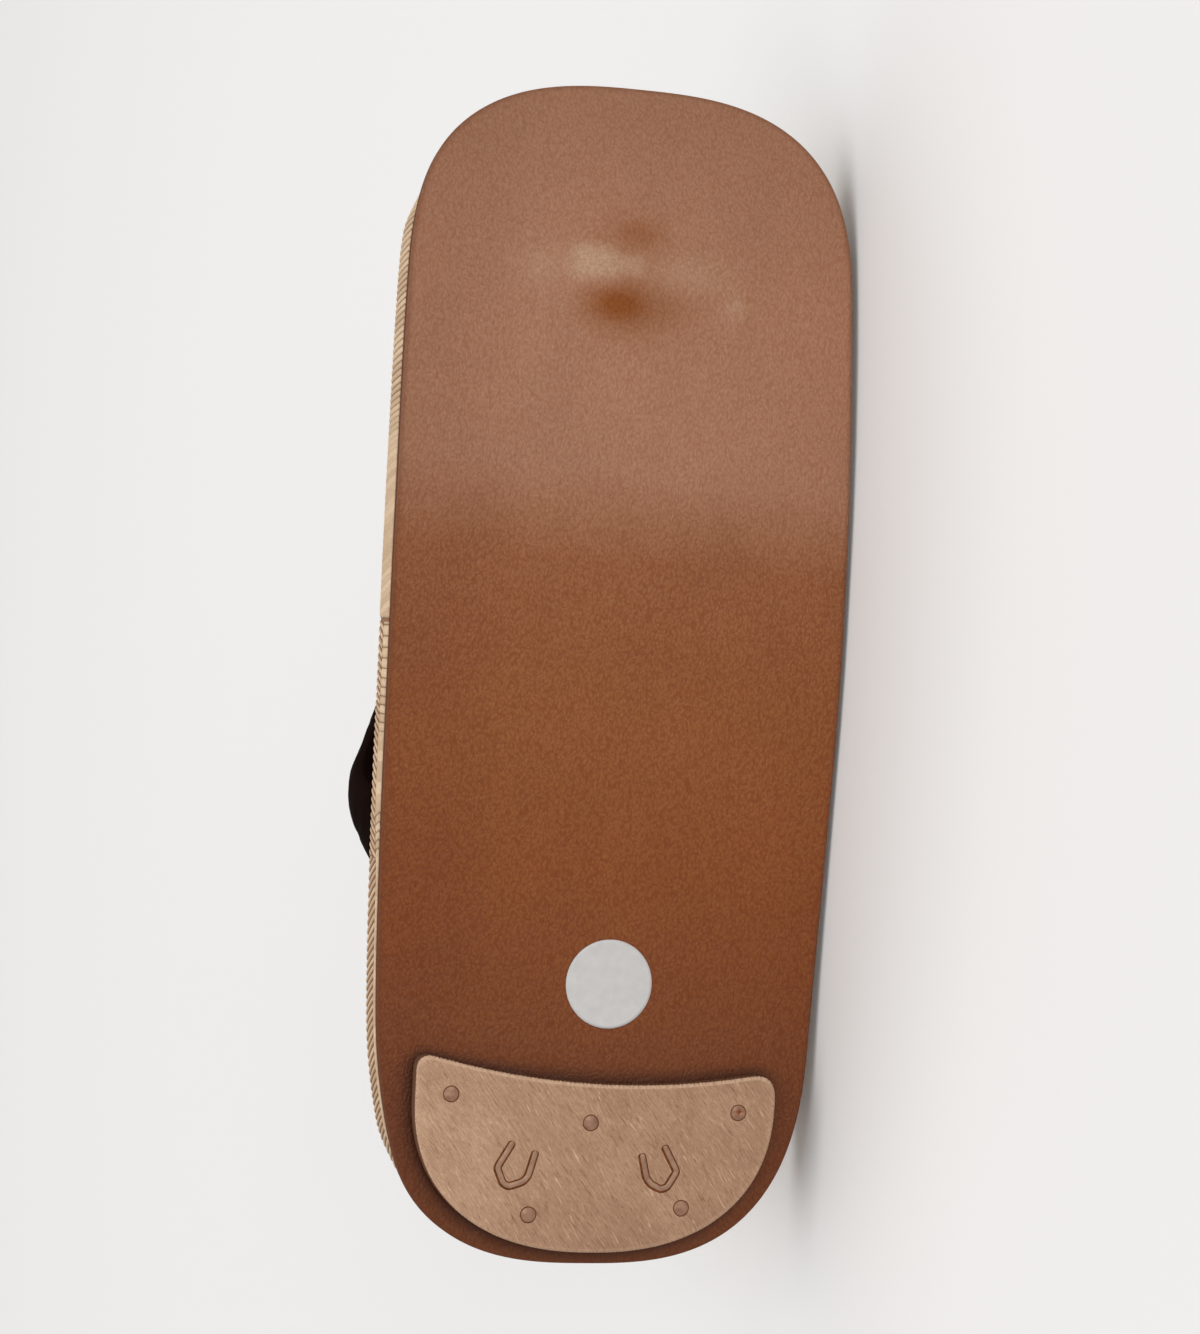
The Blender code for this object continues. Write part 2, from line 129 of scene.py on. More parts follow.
def halfWidth(x):
    # a shallow parabola, rounded off at the toe and at the heel
    fromToe = 1 - x / sole["length"]
    bowed = sole["halfWidth"] * (1 - sole["taper"] * (fromToe - sole["widest"]) ** 2)
    toe = roundOff((sole["length"] - x) / sole["toeRound"], sole["toePower"])
    return bowed * toe * roundOff(x / sole["heelRound"], sole["heelPower"])


def middle(x):
    # the centre line, a square law near the toe
    return sole["toeShift"] * np.clip(1 - (sole["length"] - x) / sole["toeShiftReach"], 0, None) ** 2


def trimmed(x):
    # the inner side's slimming, eased in at both ends, with a bell near the heel
    deep, mid, reach = sole["heelTrim"]
    return sole["innerTrim"] * within(x, *sole["trimEnds"]) + deep * bell((x - mid) / reach)


def under(x):
    # height of the outsole's lower face: flat heel, eased arch, flat ball, square-law toe spring
    heel, ball, spring = sole["heelFlatEnd"], sole["ballStart"], sole["ballEnd"]
    arch = sole["lift"] * (1 - ease((x - heel) / (ball - heel)))
    rise = sole["toeSpring"] * np.clip((x - spring) / (sole["length"] - spring), 0, None) ** 2
    return np.where(x <= ball, arch, rise)


def tilt(x):
    # the slope of under() as an angle
    return np.arctan((under(x + 1e-4) - under(x - 1e-4)) / 2e-4)


def over(x, y, height):
    # places at a height over the lower face, measured square to the bent sole
    x, y, height = np.broadcast_arrays(x, y, height)
    angle = tilt(x)
    return np.stack([x - height * np.sin(angle), y, under(x) + height * np.cos(angle)], axis=-1)


def topOf(x, height):
    # floor height of such a surface at x, by a few steps along the slope
    along = x
    for _ in range(4):
        along = x + height * np.sin(tilt(along))
    return over(along, 0.0, height)[..., 2]


def runOf(path):
    # the length along a path up to each of its points
    return np.concatenate([[0], np.cumsum(np.linalg.norm(np.diff(path, axis=0), axis=1))])


def pointsAt(places, run, path):
    # the points at some lengths along a flat path
    return np.stack([np.interp(places, run, path[:, k]) for k in range(2)], axis=1)


def leftOf(along):
    # unit vectors a quarter turn to the left of some flat directions
    along = unit(along)
    return np.stack([-along[:, 1], along[:, 0]], axis=1)


def outline(count):
    # the sole's edge in equal steps, heel, outer side, toe, inner side, with the same x on both sides
    x = sole["length"] / 2 * (1 - np.cos(np.linspace(0, np.pi, 6001)))
    run = runOf(np.stack([x, middle(x) + halfWidth(x)], axis=1))
    x = np.interp(np.linspace(0, run[-1], count // 2 + 1), run, x)
    outer = np.stack([x, middle(x) + halfWidth(x)], axis=1)
    inner = np.stack([x, middle(x) - halfWidth(x) + trimmed(x)], axis=1)[-2:0:-1]
    return np.concatenate([outer, inner])


def sideways(ring):
    # unit vectors pointing out of a closed ring that runs clockwise from above
    return leftOf(np.roll(ring, -1, axis=0) - np.roll(ring, 1, axis=0))


def offFloor(grid):
    # places that would dip under the floor are pressed up onto it
    down = -layTurn[2]
    below = np.clip(grid @ down - lying["place"][2] + lying["clearance"], 0, None)
    return grid - below[..., None] * down


def spineOf(ring):
    # the nearest place on the sole's middle line for each place on the ring
    x = np.clip(ring[:, 0], *sole["spine"])
    return np.stack([x, middle(x)], axis=1)


def capped(grid):
    # a tube of points with its first and last ring closed to their middles
    caps = [np.repeat(grid[k].mean(axis=0)[None, None], grid.shape[1], axis=1) for k in (0, -1)]
    return np.concatenate([caps[0], grid, caps[1]])


def nearRim(share):
    # 0 over a slab's face, and up to 1 over the last part of the way out
    return np.clip((share - 0.975) / 0.025, 0, 1)


def slabRings(shape, turns, side):
    # rings over a slab's face, round its edge and up its side: inset, height, and share of the way from the
    # middle to the outline; side holds the insets and the heights of the last ones
    share = np.linspace(0, 1, shape["rings"])
    turn = np.linspace(0, np.pi / 2, turns)[1:]
    r = shape["edge"]
    insets = np.concatenate([np.full(len(share), r), r * (1 - np.sin(turn)), side[0]])
    heights = np.concatenate([np.zeros(len(share)), r * (1 - np.cos(turn)), side[1]])
    shares = np.concatenate([share, np.ones(len(insets) - len(share) - 1), [0]])
    return insets, heights, shares


def link(thing):
    # into the scene
    bpy.context.scene.collection.objects.link(thing)


def addMesh(name, grid, material, looped=False, uv=None, values=None, weld=True, flip=False):
    # faces between rings of points, the last joined to the first if looped, welded where points fall together
    rows, cols = grid.shape[:2]
    a = np.arange(rows * cols).reshape(rows, cols)
    up = np.roll(a, -1, axis=0)
    if not looped:
        a, up = a[:-1], up[:-1]
    quads = np.stack([up, np.roll(up, -1, axis=1), np.roll(a, -1, axis=1), a], axis=-1).reshape(-1, 4)
    if flip:
        quads = quads[:, ::-1]
    mesh = bpy.data.meshes.new(name)
    mesh.from_pydata(lay(grid.reshape(-1, 3)).tolist(), [], quads.tolist())
    if uv is not None:
        layer = mesh.uv_layers.new(name="surface")
        layer.data.foreach_set("uv", uv.reshape(-1, 2)[quads.ravel()].astype(np.float32).ravel())
    for key, field in (values or {}).items():
        mesh.attributes.new(key, "FLOAT", "POINT").data.foreach_set("value", field.ravel().astype(np.float32))
    if weld:
        soft = bmesh.new()
        soft.from_mesh(mesh)
        bmesh.ops.remove_doubles(soft, verts=soft.verts, dist=2e-6)
        bmesh.ops.dissolve_degenerate(soft, edges=soft.edges, dist=1e-7)
        soft.to_mesh(mesh)
        soft.free()
    mesh.shade_smooth()
    mesh.materials.append(material)
    piece = bpy.data.objects.new(name, mesh)
    link(piece)
    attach(piece, "root")
    return piece


def wire(node, key, value):
    # a number, a vector, a colour or another node's output into one socket
    if hasattr(value, "outputs"):
        value = value.outputs[0]
    socket = node.inputs[key]
    if isinstance(value, bpy.types.NodeSocket):
        node.id_data.links.new(value, socket)
    elif socket.type == "RGBA":
        socket.default_value = (*value, 1)
    else:
        socket.default_value = value


def newMaterial(name):
    # a material's two helpers: one adds and links a node, one puts the looks into the Principled shader
    material = bpy.data.materials.new(name)
    material.use_nodes = True
    nodes = material.node_tree.nodes

    def add(kind, links=None, **fixed):
        node = nodes.new("ShaderNode" + kind)
        for key, value in fixed.items():
            if hasattr(node, key):
                setattr(node, key, value)
            else:
                node.inputs[key].default_value = value
        for key, value in (links or {}).items():
            wire(node, key, value)
        return node

    def coat(colour, roughness, specular=0.5, bump=(), metallic=0.0):
        # a bump is its height, its depth in metres and its strength
        looks = {"Base Color": colour, "Roughness": roughness, "Metallic": metallic}
        looks["Specular IOR Level"] = specular
        if bump:
            looks["Normal"] = add("Bump", dict(zip(("Height", "Distance", "Strength"), bump)))
        for key, value in looks.items():
            wire(nodes["Principled BSDF"], key, value)
        return material

    return add, coat


def noise(add, grain, turn=0.0, **fixed):
    # a noise pattern over the object, turned about Y, from its grains' length and width and its detail
    length, width, detail = grain
    spot = add("TexCoord").outputs["Object"]
    links = {"Vector": spot, "Scale": (length, width, width), "Rotation": (0, turn, 0)}
    place = add("Mapping", links, vector_type="TEXTURE")
    return add("TexNoise", {"Vector": place}, Scale=1.0, Detail=detail, **fixed)


def ramp(add, source, stops):
    # a colour ramp from (place, colour) pairs
    node = add("ValToRGB", {"Fac": source})
    line = node.color_ramp
    while len(line.elements) < len(stops):
        line.elements.new(0.5)
    for element, (place, colour) in zip(line.elements, stops):
        element.position = place
        element.color = (*colour, 1)
    return node


def mixed(add, kind, amount, first, second):
    # two colours blended by a factor
    node = add("Mix", data_type="RGBA", blend_type=kind)
    for index, value in ((0, amount), (6, first), (7, second)):
        wire(node, index, value)
    return node.outputs[2]


def tinted(add, amount, colour, source, stops):
    # a colour multiplied by tints that follow a pattern
    return mixed(add, "MULTIPLY", amount, colour, ramp(add, source, stops))


def sums(add, operation, first, second=0.0, third=0.0):
    # one arithmetic step
    node = add("Math", operation=operation)
    for index, value in enumerate((first, second, third)):
        wire(node, index, value)
    return node.outputs[0]


def times(add, first, second, third=0.0):
    # a product, plus a third number
    return sums(add, "MULTIPLY_ADD", first, second, third)


def arches(add, phase):
    # the height of a half wave for each whole number of the phase
    return sums(add, "ABSOLUTE", sums(add, "SINE", times(add, phase, math.pi)))


def span(add, value, low, high, start=0.0, end=1.0):
    # a value carried from one range to another and held at its ends
    links = {"Value": value, "From Min": low, "From Max": high, "To Min": start, "To Max": end}
    return add("MapRange", links).outputs[0]


def painted(add, name):
    # a value kept on the mesh's points
    return add("Attribute", attribute_name=name).outputs["Fac"]


def covered(add, colour, look, keys):
    # a colour changed to the look's own where the mesh has a value of that name
    for key in keys:
        colour = mixed(add, "MIX", painted(add, key), colour, look[key])
    return colour


leatherLook = {
    # colours by share of the length from the heel: the leather's brown, with the paler toe half a painted
    # sheen, the darker heel end painted shade and the toe's tip a little darker again as painted shade
    "tones": (
        (0.02, (0.135, 0.036, 0.008)),
        (0.195, (0.166, 0.045, 0.010)),
        (0.345, (0.205, 0.058, 0.013)),
        (0.455, (0.233, 0.073, 0.019)),
        (0.535, (0.226, 0.073, 0.021)),
        (0.61, (0.240, 0.083, 0.028)),
        (0.684, (0.310, 0.146, 0.081)),
        (0.825, (0.317, 0.149, 0.083)),
        (1.00, (0.270, 0.122, 0.066)),
    ),
    "ends": (-0.1311, 0.1269),  # X of the heel and of the toe as the sandal lies
    "slant": 0.03,  # how much further forward the tones are for each step up
    "drift": 0.008,  # how far the patches move them
    "heights": (0.0, 0.1),
    # painted shade: a tint between those heights over the floor, which is across the sole, darker towards the
    # outer side and more towards the inner edge
    "across": (
        (0.00, (0.965, 0.925, 0.905)),
        (0.25, (0.965, 0.950, 0.940)),
        (0.50, (0.985, 0.982, 0.980)),
        (0.75, (0.965, 0.960, 0.955)),
        (0.90, (0.885, 0.840, 0.805)),
        (1.00, (0.860, 0.805, 0.765)),
    ),
    # tints over the cloudy patches, the creases and the pebbles between them
    "clouds": ((0.3, (0.96, 0.955, 0.95)), (0.7, (1.035, 1.035, 1.035))),
    "creases": (
        (0.34, (0.88, 0.86, 0.84)),
        (0.50, (1.0, 1.0, 1.0)),
        (0.64, (1.06, 1.07, 1.08)),
        (0.74, (1.20, 1.24, 1.28)),
    ),
    "pebbles": ((0.28, (1.08, 1.14, 1.20)), (0.72, (0.86, 0.74, 0.60))),
    # painted shade on the sole's side and in a band along its edge
    "rim": (0.105, 0.034, 0.014),
    # a painted highlight on the knot, and painted shade behind it
    "pale": (0.385, 0.236, 0.148),
    "deep": (0.215, 0.062, 0.011),
    # a painted shadow round the lift
    "stain": (0.050, 0.013, 0.004),
    "specular": 0.17,
    # noise patterns as the length and the width of their grains, and the detail
    "bend": (0.006, 0.006, 2),
    "pores": (0.0006, 0.0004, 2),
    "patches": (0.030, 0.018, 3),
    "grain": (0.00088, 0.00062, 0.00062),  # along and across the sole
    "wander": (0.0030, 0.0022, 0.0022),  # how far the grain strays from straight
    "grainDepth": 0.000135,
}


def brownLeather():
    # wavy pebbled grain stretched along the sole, in tones along and across it that hold painted sheen and
    # painted shade, with a painted highlight, painted shade and a painted shadow where the mesh says so
    look = leatherLook
    add, coat = newMaterial("brownLeather")
    place = add("TexCoord").outputs["Object"]
    bend = noise(add, look["bend"]).outputs["Color"]
    spread = add("VectorMath", {0: bend, 1: look["wander"]}, operation="MULTIPLY")
    waved = add("VectorMath", {0: place, 1: spread}, operation="ADD")
    grain = add("Mapping", {"Vector": waved, "Scale": look["grain"]}, vector_type="TEXTURE")
    pebbles = add("TexVoronoi", {"Vector": grain}, feature="SMOOTH_F1", Scale=1.0, Smoothness=0.35)
    creases = add("TexNoise", {"Vector": grain}, Scale=1.3, Detail=3.0, Roughness=0.6, Distortion=0.5)
    pores = noise(add, look["pores"])
    patches = noise(add, look["patches"])
    spot = add("SeparateXYZ", {"Vector": place})
    skewed = times(add, spot.outputs[2], -look["slant"], spot.outputs[0])
    reach = span(add, times(add, patches, look["drift"], skewed), *look["ends"])
    # tones along the sole, which hold a painted sheen on the toe half and painted shade towards the heel
    colour = tinted(add, 1.0, ramp(add, reach, look["tones"]), patches, look["clouds"])
    # painted shade across the sole
    colour = tinted(add, 1.0, colour, span(add, spot.outputs[2], *look["heights"]), look["across"])
    # painted highlight and painted shade at the knot
    colour = covered(add, colour, look, ("pale", "deep"))
    colour = tinted(add, 0.85, colour, creases, look["creases"])
    colour = tinted(add, span(add, reach, 0.58, 0.68, 0.9, 0.55), colour, pebbles, look["pebbles"])
    # a painted shadow round the lift, then painted shade on the sole's side and edge
    colour = covered(add, colour, look, ("stain", "rim"))
    height = sums(add, "SUBTRACT", times(add, creases, 0.9), times(add, pebbles, 0.6))
    height = times(add, pores, 0.25, height)
    gloss = span(add, creases, 0.3, 0.7, 0.40, 0.30)
    roughness = times(add, painted(add, "rim"), 0.45, gloss)
    return coat(colour, roughness, look["specular"], (height, look["grainDepth"], 1.0))


rawLook = {
    "face": (0.360, 0.212, 0.128),
    "dark": (0.255, 0.138, 0.078),
    "pale": (0.560, 0.370, 0.245),
    "side": (0.135, 0.056, 0.026),
    "scratchTurn": -38.0,  # degrees from the sole's length
    "napDepth": 0.00024,
    # noise patterns as the length and the width of their grains, and the detail
    "grains": {
        "strokes": (0.0040, 0.00034, 4),
        "scores": (0.0080, 0.00060, 2),
        "hairlines": (0.0068, 0.00036, 1),
        "nap": (0.0009, 0.00045, 4),
        "flecks": (0.0015, 0.00028, 1),
        "clouds": (0.012, 0.012, 4),
    },
    # painted shade: tints between two heights over the floor, lighter on the upper side, and between two
    # places near the heel's end, darker towards it
    "heights": (0.02, 0.09),
    "reach": (-0.127, -0.113),
    "across": ((0.0, (0.93, 0.895, 0.88)), (0.5, (0.99, 0.975, 0.97)), (1.0, (1.13, 1.15, 1.16))),
    "heelEnd": ((0.0, (0.90, 0.85, 0.86)), (1.0, (1.0, 1.0, 1.0))),
    # tints over the brush strokes, the deeper scores, the nap and the short flecks: dark and pale ends
    "strokes": ((0.33, (0.76, 0.72, 0.68)), (0.5, (1, 1, 1)), (0.66, (1.24, 1.26, 1.28))),
    "scores": ((0.30, (0.72, 0.66, 0.60)), (0.38, (1, 1, 1)), (0.64, (1, 1, 1)), (0.72, (1.16, 1.17, 1.18))),
    "nap": ((0.32, (0.80, 0.77, 0.74)), (0.5, (1, 1, 1)), (0.68, (1.12, 1.13, 1.14))),
    "flecks": ((0.28, (0.70, 0.64, 0.58)), (0.36, (1, 1, 1)), (0.63, (1, 1, 1)), (0.71, (1.24, 1.27, 1.30))),
}


def rawLeather():
    # brushed fibres that cross the lift at a slant over a cloudy pale face, with a lighter rim that is worn
    # and, on its front, a painted highlight; painted shade makes the lower side and the heel's end darker
    look = rawLook
    add, coat = newMaterial("rawLeather")
    slant = math.radians(look["scratchTurn"])
    pattern = lambda key, turn=slant, **fixed: noise(add, look["grains"][key], turn, **fixed)
    strokes = pattern("strokes", Roughness=0.6, Distortion=0.25)
    scores = pattern("scores")
    hairlines = pattern("hairlines", slant + 0.08, Distortion=0.7)
    nap = pattern("nap", Roughness=0.65)
    flecks = pattern("flecks")
    cloudy = (0.3, look["dark"]), (0.5, look["face"]), (0.8, look["pale"])
    colour = ramp(add, pattern("clouds", 0.0), cloudy)
    colour = mixed(add, "MIX", 0.70, colour, look["face"])
    spot = add("SeparateXYZ", {"Vector": add("TexCoord").outputs["Object"]})
    # painted shade: lighter on the upper side, darker towards the heel's end
    colour = tinted(add, 1.0, colour, span(add, spot.outputs[2], *look["heights"]), look["across"])
    colour = tinted(add, 1.0, colour, span(add, spot.outputs[0], *look["reach"]), look["heelEnd"])
    colour = tinted(add, 0.55, colour, strokes, look["strokes"])
    colour = tinted(add, 0.8, colour, scores, look["scores"])
    colour = mixed(add, "MIX", span(add, hairlines, 0.66, 0.72, 0.0, 0.70), colour, look["pale"])
    colour = tinted(add, 0.6, colour, nap, look["nap"])
    colour = tinted(add, 0.8, colour, flecks, look["flecks"])
    # the pale rim: wear, with a painted highlight on its front
    colour = mixed(add, "MIX", times(add, painted(add, "rim"), 0.8), colour, look["pale"])
    colour = covered(add, colour, look, ("side",))
    height = times(add, nap, 0.5, times(add, scores, 1.2, strokes))
    return coat(colour, 0.6, 0.3, (height, look["napDepth"], 1.0))


rushLook = {
    "strands": ((0, (0.520, 0.355, 0.215)), (1, (0.680, 0.500, 0.325))),
    # painted shade in the gaps between strands
    "gap": (0.270, 0.120, 0.055),
    # tints over the fibres, and over the patches of wear
    "fibres": ((0.3, (0.80, 0.76, 0.72)), (0.7, (1.1, 1.1, 1.1))),
    "worn": ((0.3, (0.90, 0.88, 0.86)), (0.7, (1.06, 1.06, 1.06))),
    # their grains' length and width, and the detail
    "fibreGrain": (0.0006, 0.0006, 3),
    "wornGrain": (0.03, 0.03, 2),
    "wallDepth": 0.00045,
    "topDepth": 0.0004,
}


def strandShade(add, phase, power=0.6):
    # one family of strands from its running phase: crown height from 0 to 1, and a tone for each strand
    tone = add("TexWhiteNoise", {"W": sums(add, "FLOOR", phase)}, noise_dimensions="1D")
    return sums(add, "POWER", arches(add, phase), power), tone.outputs["Value"]


def blend(add, share, first, second):
    # a number between two others
    return add("Mix", {0: share, 2: first, 3: second}, data_type="FLOAT").outputs[0]


def rushFinish(add, coat, colour, crown, depth):
    # fine fibres over straw, brown in the gaps as painted shade, matt
    fibres = noise(add, rushLook["fibreGrain"])
    colour = tinted(add, 0.6, colour, fibres, rushLook["fibres"])
    # painted shade where the crown is low: in the gaps, the seam, the joint and between ribs
    colour = mixed(add, "MIX", span(add, crown, 0.72, 0.30), colour, rushLook["gap"])
    height = times(add, fibres, 0.25, crown)
    return coat(colour, 0.55, 0.4, (height, depth, 1.0))


def rushWall():
    # slanting strands before the joint; behind it leaning strands over a row of blocks with a seam between
    add, coat = newMaterial("rushWall")
    toeCrown, toeTone = strandShade(add, painted(add, "slant"))
    leanCrown, leanTone = strandShade(add, painted(add, "lean"), 1.2)
    blockCrown, blockTone = strandShade(add, painted(add, "block"), 0.3)
    toeCrown = blend(add, painted(add, "bold"), 1.0, toeCrown)
    blockCrown = blend(add, painted(add, "wide"), 1.0, blockCrown)
    level = painted(add, "level")
    upper = span(add, level, -0.15, 0.15)
    seam = span(add, sums(add, "ABSOLUTE", level), 0.0, 0.28, 0.55, 0.0)
    backCrown = sums(add, "SUBTRACT", blend(add, upper, blockCrown, leanCrown), seam)
    backTone = blend(add, upper, blockTone, leanTone)
    front = painted(add, "front")
    crown = sums(add, "SUBTRACT", blend(add, front, backCrown, toeCrown), painted(add, "joint"))
    colour = ramp(add, blend(add, front, backTone, toeTone), rushLook["strands"])
    return rushFinish(add, coat, colour, span(add, crown, 0, 1), rushLook["wallDepth"])


def rushTop():
    # herringbone: short strands that lean one way and the other in turn, rib by rib
    add, coat = newMaterial("rushTop")
    place = add("SeparateXYZ", {"Vector": add("UVMap", uv_map="surface")})
    row = times(add, place.outputs[1], 1 / matTop["rib"])
    parity = sums(add, "FLOORED_MODULO", sums(add, "FLOOR", row), 2.0)
    lean = times(add, parity, 2.0, -1.0)
    slant = times(add, sums(add, "FRACT", row), lean)
    crown, tone = strandShade(add, times(add, place.outputs[0], 1 / matTop["stitch"], slant))
    between = times(add, span(add, arches(add, row), 0.0, 0.35), 0.5, 0.5)
    colour = ramp(add, tone, rushLook["strands"])
    colour = tinted(add, 1.0, colour, noise(add, rushLook["wornGrain"]), rushLook["worn"])
    return rushFinish(add, coat, colour, times(add, crown, between), rushLook["topDepth"])


clothLook = {
    "black": ((0.3, (0.0060, 0.0018, 0.0011)), (0.75, (0.0088, 0.0030, 0.0020))),
    # the seams' darker tone, also painted shade in the thong's pleats
    "seam": (0.002, 0.0012, 0.001),
    # grains of its tones and of its fuzz: length, width, detail
    "mottle": (0.011, 0.011, 3),
    "fuzz": (0.0007, 0.0007, 4),
    "thread": 0.0005,
    "depth": 0.00012,
}


def blackCloth():
    # a close black weave on the strap's own map, with soft fuzz, darker seams and painted shade in the
    # thong's pleats
    add, coat = newMaterial("blackCloth")
    size = (clothLook["thread"], clothLook["thread"], 1)
    weave = add("Mapping", {"Vector": add("UVMap", uv_map="surface"), "Scale": size}, vector_type="TEXTURE")
    threads = add("TexChecker", {"Vector": weave}, Scale=1.0).outputs["Fac"]
    colour = ramp(add, noise(add, clothLook["mottle"]), clothLook["black"])
    colour = covered(add, colour, clothLook, ("seam",))
    height = times(add, threads, 0.4, noise(add, clothLook["fuzz"]))
    return coat(colour, 0.8, 0.03, (height, clothLook["depth"], 0.8))


metalLook = {
    # stained and clean tone
    "nail": ((0.3, (0.185, 0.088, 0.049)), (0.65, (0.275, 0.142, 0.083))),
    "plate": ((0.3, (0.225, 0.120, 0.070)), (0.65, (0.320, 0.185, 0.114))),
    "stain": (0.230, 0.070, 0.024),
    # grains of its tones and of its scuffs: length, width, detail
    "mottle": (0.0016, 0.0016, 3),
    "marks": (0.0012, 0.0004, 4),
    "scuff": 0.00007,
}


def dullMetal(name, tones, roughness):
    # scuffed, stained metal, rusty where the mesh says so
    add, coat = newMaterial(name)
    marks = noise(add, metalLook["marks"], 0.6)
    colour = covered(add, ramp(add, noise(add, metalLook["mottle"]), tones), metalLook, ("stain",))
    return coat(colour, roughness, bump=(marks, metalLook["scuff"], 0.8), metallic=0.25)


# tones of the painted shade round the nails and plates
gapShadeLook = {
    "tones": ((0.3, (0.075, 0.020, 0.005)), (0.7, (0.170, 0.052, 0.018))),
    "mottle": (0.0009, 0.0009, 2),
}


def shadedGap():
    # painted shade in a narrow gap
    add, coat = newMaterial("shadedGap")
    return coat(ramp(add, noise(add, gapShadeLook["mottle"]), gapShadeLook["tones"]), 0.8, 0.05)


paperLook = {
    "tones": ((0.3, (0.465, 0.452, 0.440)), (0.7, (0.515, 0.502, 0.490))),
    "mottle": (0.0022, 0.0022, 4),
    "depth": 0.00003,
}


def bareLabel():
    # matt white paper with faint mottling
    add, coat = newMaterial("bareLabel")
    mottle = noise(add, paperLook["mottle"])
    return coat(ramp(add, mottle, paperLook["tones"]), 0.55, bump=(mottle, paperLook["depth"], 0.5))


print("materials")

liftShape = {
    "end": 0.0032,  # its back, forward from the heel's end
    "halfWidth": 0.0402,
    "round": 0.0330,  # length of the rounded back
    "power": 2.3,
    "shift": -0.0001,  # of its middle, towards the outer side
    "front": 0.0393,  # the middle of the hollow front
    "horn": 0.0048,  # how far its corners are before that
    "skew": 0.0015,  # how much further forward the inner one is, and the outer one further back
    "corners": (0.0058, 0.0042),  # how much the outer and the inner corner are cut off
    "edge": 0.0005,  # radius of the worn edge
    "centre": (0.0235, -0.0001),
    "around": 900,
    "rings": 60,
    "side": (0.0008, 0.0046, 9),  # heights of the rings up the side, and how many
    "top": (0.0047, 0.003),  # height of the hidden top, and how far in its last ring is
    # on its side the layers' depth and how close they lie, the waves of the fibres, and single fibres
    "layers": (0.00012, 3900),
    "fibres": (0.00009, 0.00008),
    "waves": 0.00002,  # over the face
    "wornAndLitRim": (0.35, 0.65),  # how pale the rim is worn, and how much paler its front is as a painted highlight
}


def liftOutline(count):
    # a closed ring in equal steps: for each side a superelliptic back, a rounded corner and half of the
    # parabola that hollows the front
    s = liftShape
    d = s["round"] * (1 - np.cos(np.linspace(0, np.pi / 2, 1500)))
    k = np.linspace(0, 1, 40)[1:-1, None]
    halves = []
    for side, cut in zip((1, -1), s["corners"]):
        corner = np.array([s["front"] + s["horn"] - side * s["skew"], s["shift"] + side * s["halfWidth"]])
        t = side * np.linspace(1, -1, 1500)[:750]
        hollow = s["front"] + s["horn"] * t * t - s["skew"] * t
        front = np.stack([hollow, s["shift"] + s["halfWidth"] * t], axis=1)
        front = front[np.linalg.norm(front - corner, axis=1) > cut]
        back = side * s["halfWidth"] * roundOff(d / s["round"], s["power"])
        back = np.stack([s["end"] + d, s["shift"] + back], axis=1)
        start = corner - [cut, 0]
        bend = (1 - k) ** 2 * start + 2 * k * (1 - k) * corner + k**2 * front[0]
        halves.append(np.concatenate([back, start[None], bend, front]))
    path = np.concatenate([halves[0], halves[1][:0:-1], halves[0][:1]])
    run = runOf(path)
    return pointsAt(np.linspace(0, run[-1], count + 1)[:-1], run, path)


outsoleShape = {
    "around": 960,
    "rings": 90,
    "edge": 0.0004,  # radius of its rounded edge
    # inset and height of the rings up the side and back over the hidden top
    "side": ((0, 0, 0.0002, 0.004, 0.004), (0.0013, 0.0020, 0.0024, 0.0025, 0.0025)),
    # the thong's knot, the cord's ends to either side of it and a small fold beyond them:
    # middle along and across, height, reach along and across, power
    "rise": (
        (0.2137, -0.0045, 0.0026, 0.0085, 0.0105, 2),
        (0.2135, 0.0015, 0.0010, 0.0060, 0.0210, 2),
        (0.2072, 0.0235, 0.0005, 0.0035, 0.0035, 2),
    ),
    "waves": 0.00005,  # height of the slow waves over the face
    # the same for a painted highlight on the knot's toe-facing slopes, and painted shade on the slopes and
    # hollow behind it
    "pale": (
        (0.2177, -0.0094, 1.0, 0.0040, 0.0050, 4),
        (0.2174, -0.0016, 0.62, 0.0026, 0.0036, 4),
        (0.2168, 0.0125, 0.40, 0.0046, 0.0090, 2),
        (0.2100, 0.0236, 0.50, 0.0026, 0.0022, 2),
        (0.2168, -0.0200, 0.28, 0.0046, 0.0064, 2),
    ),
    "deep": (
        (0.2090, -0.0040, 0.92, 0.0040, 0.0066, 2),
        (0.2060, -0.0010, 0.30, 0.0060, 0.0100, 2),
        (0.2250, 0.0010, 0.62, 0.0036, 0.0060, 2),
        (0.2085, 0.0090, 0.22, 0.0040, 0.0070, 2),
    ),
    # how far the painted shadow round the lift reaches: before it, how much more beside it, and where that
    # changes
    "shadowReach": (0.0012, 0.0011, 0.046, -0.006),
    "shadowFall": (0.92, 1.4),  # its strength and power
    "rimHeight": (0.0002, 0.0004),  # where the side's painted shade starts, and over what height
    # how dark the painted shade along the face's edge is
    "rimShade": 0.4,
}


def bells(rows, x, y):
    # the sum of some soft bumps
    total = 0
    for cx, cy, high, along, across, power in rows:
        away = np.abs((x - cx) / along) ** power + np.abs((y - cy) / across) ** power
        total = total + high * np.exp(-away)
    return total


def leatherRise(x, y):
    # the bumps and slow crossing waves
    slow = np.sin(x * 61 + 0.4) * np.sin(y * 78 + 1.1) + 0.6 * np.sin(x * 143 + y * 57)
    return bells(outsoleShape["rise"], x, y) + outsoleShape["waves"] * slow


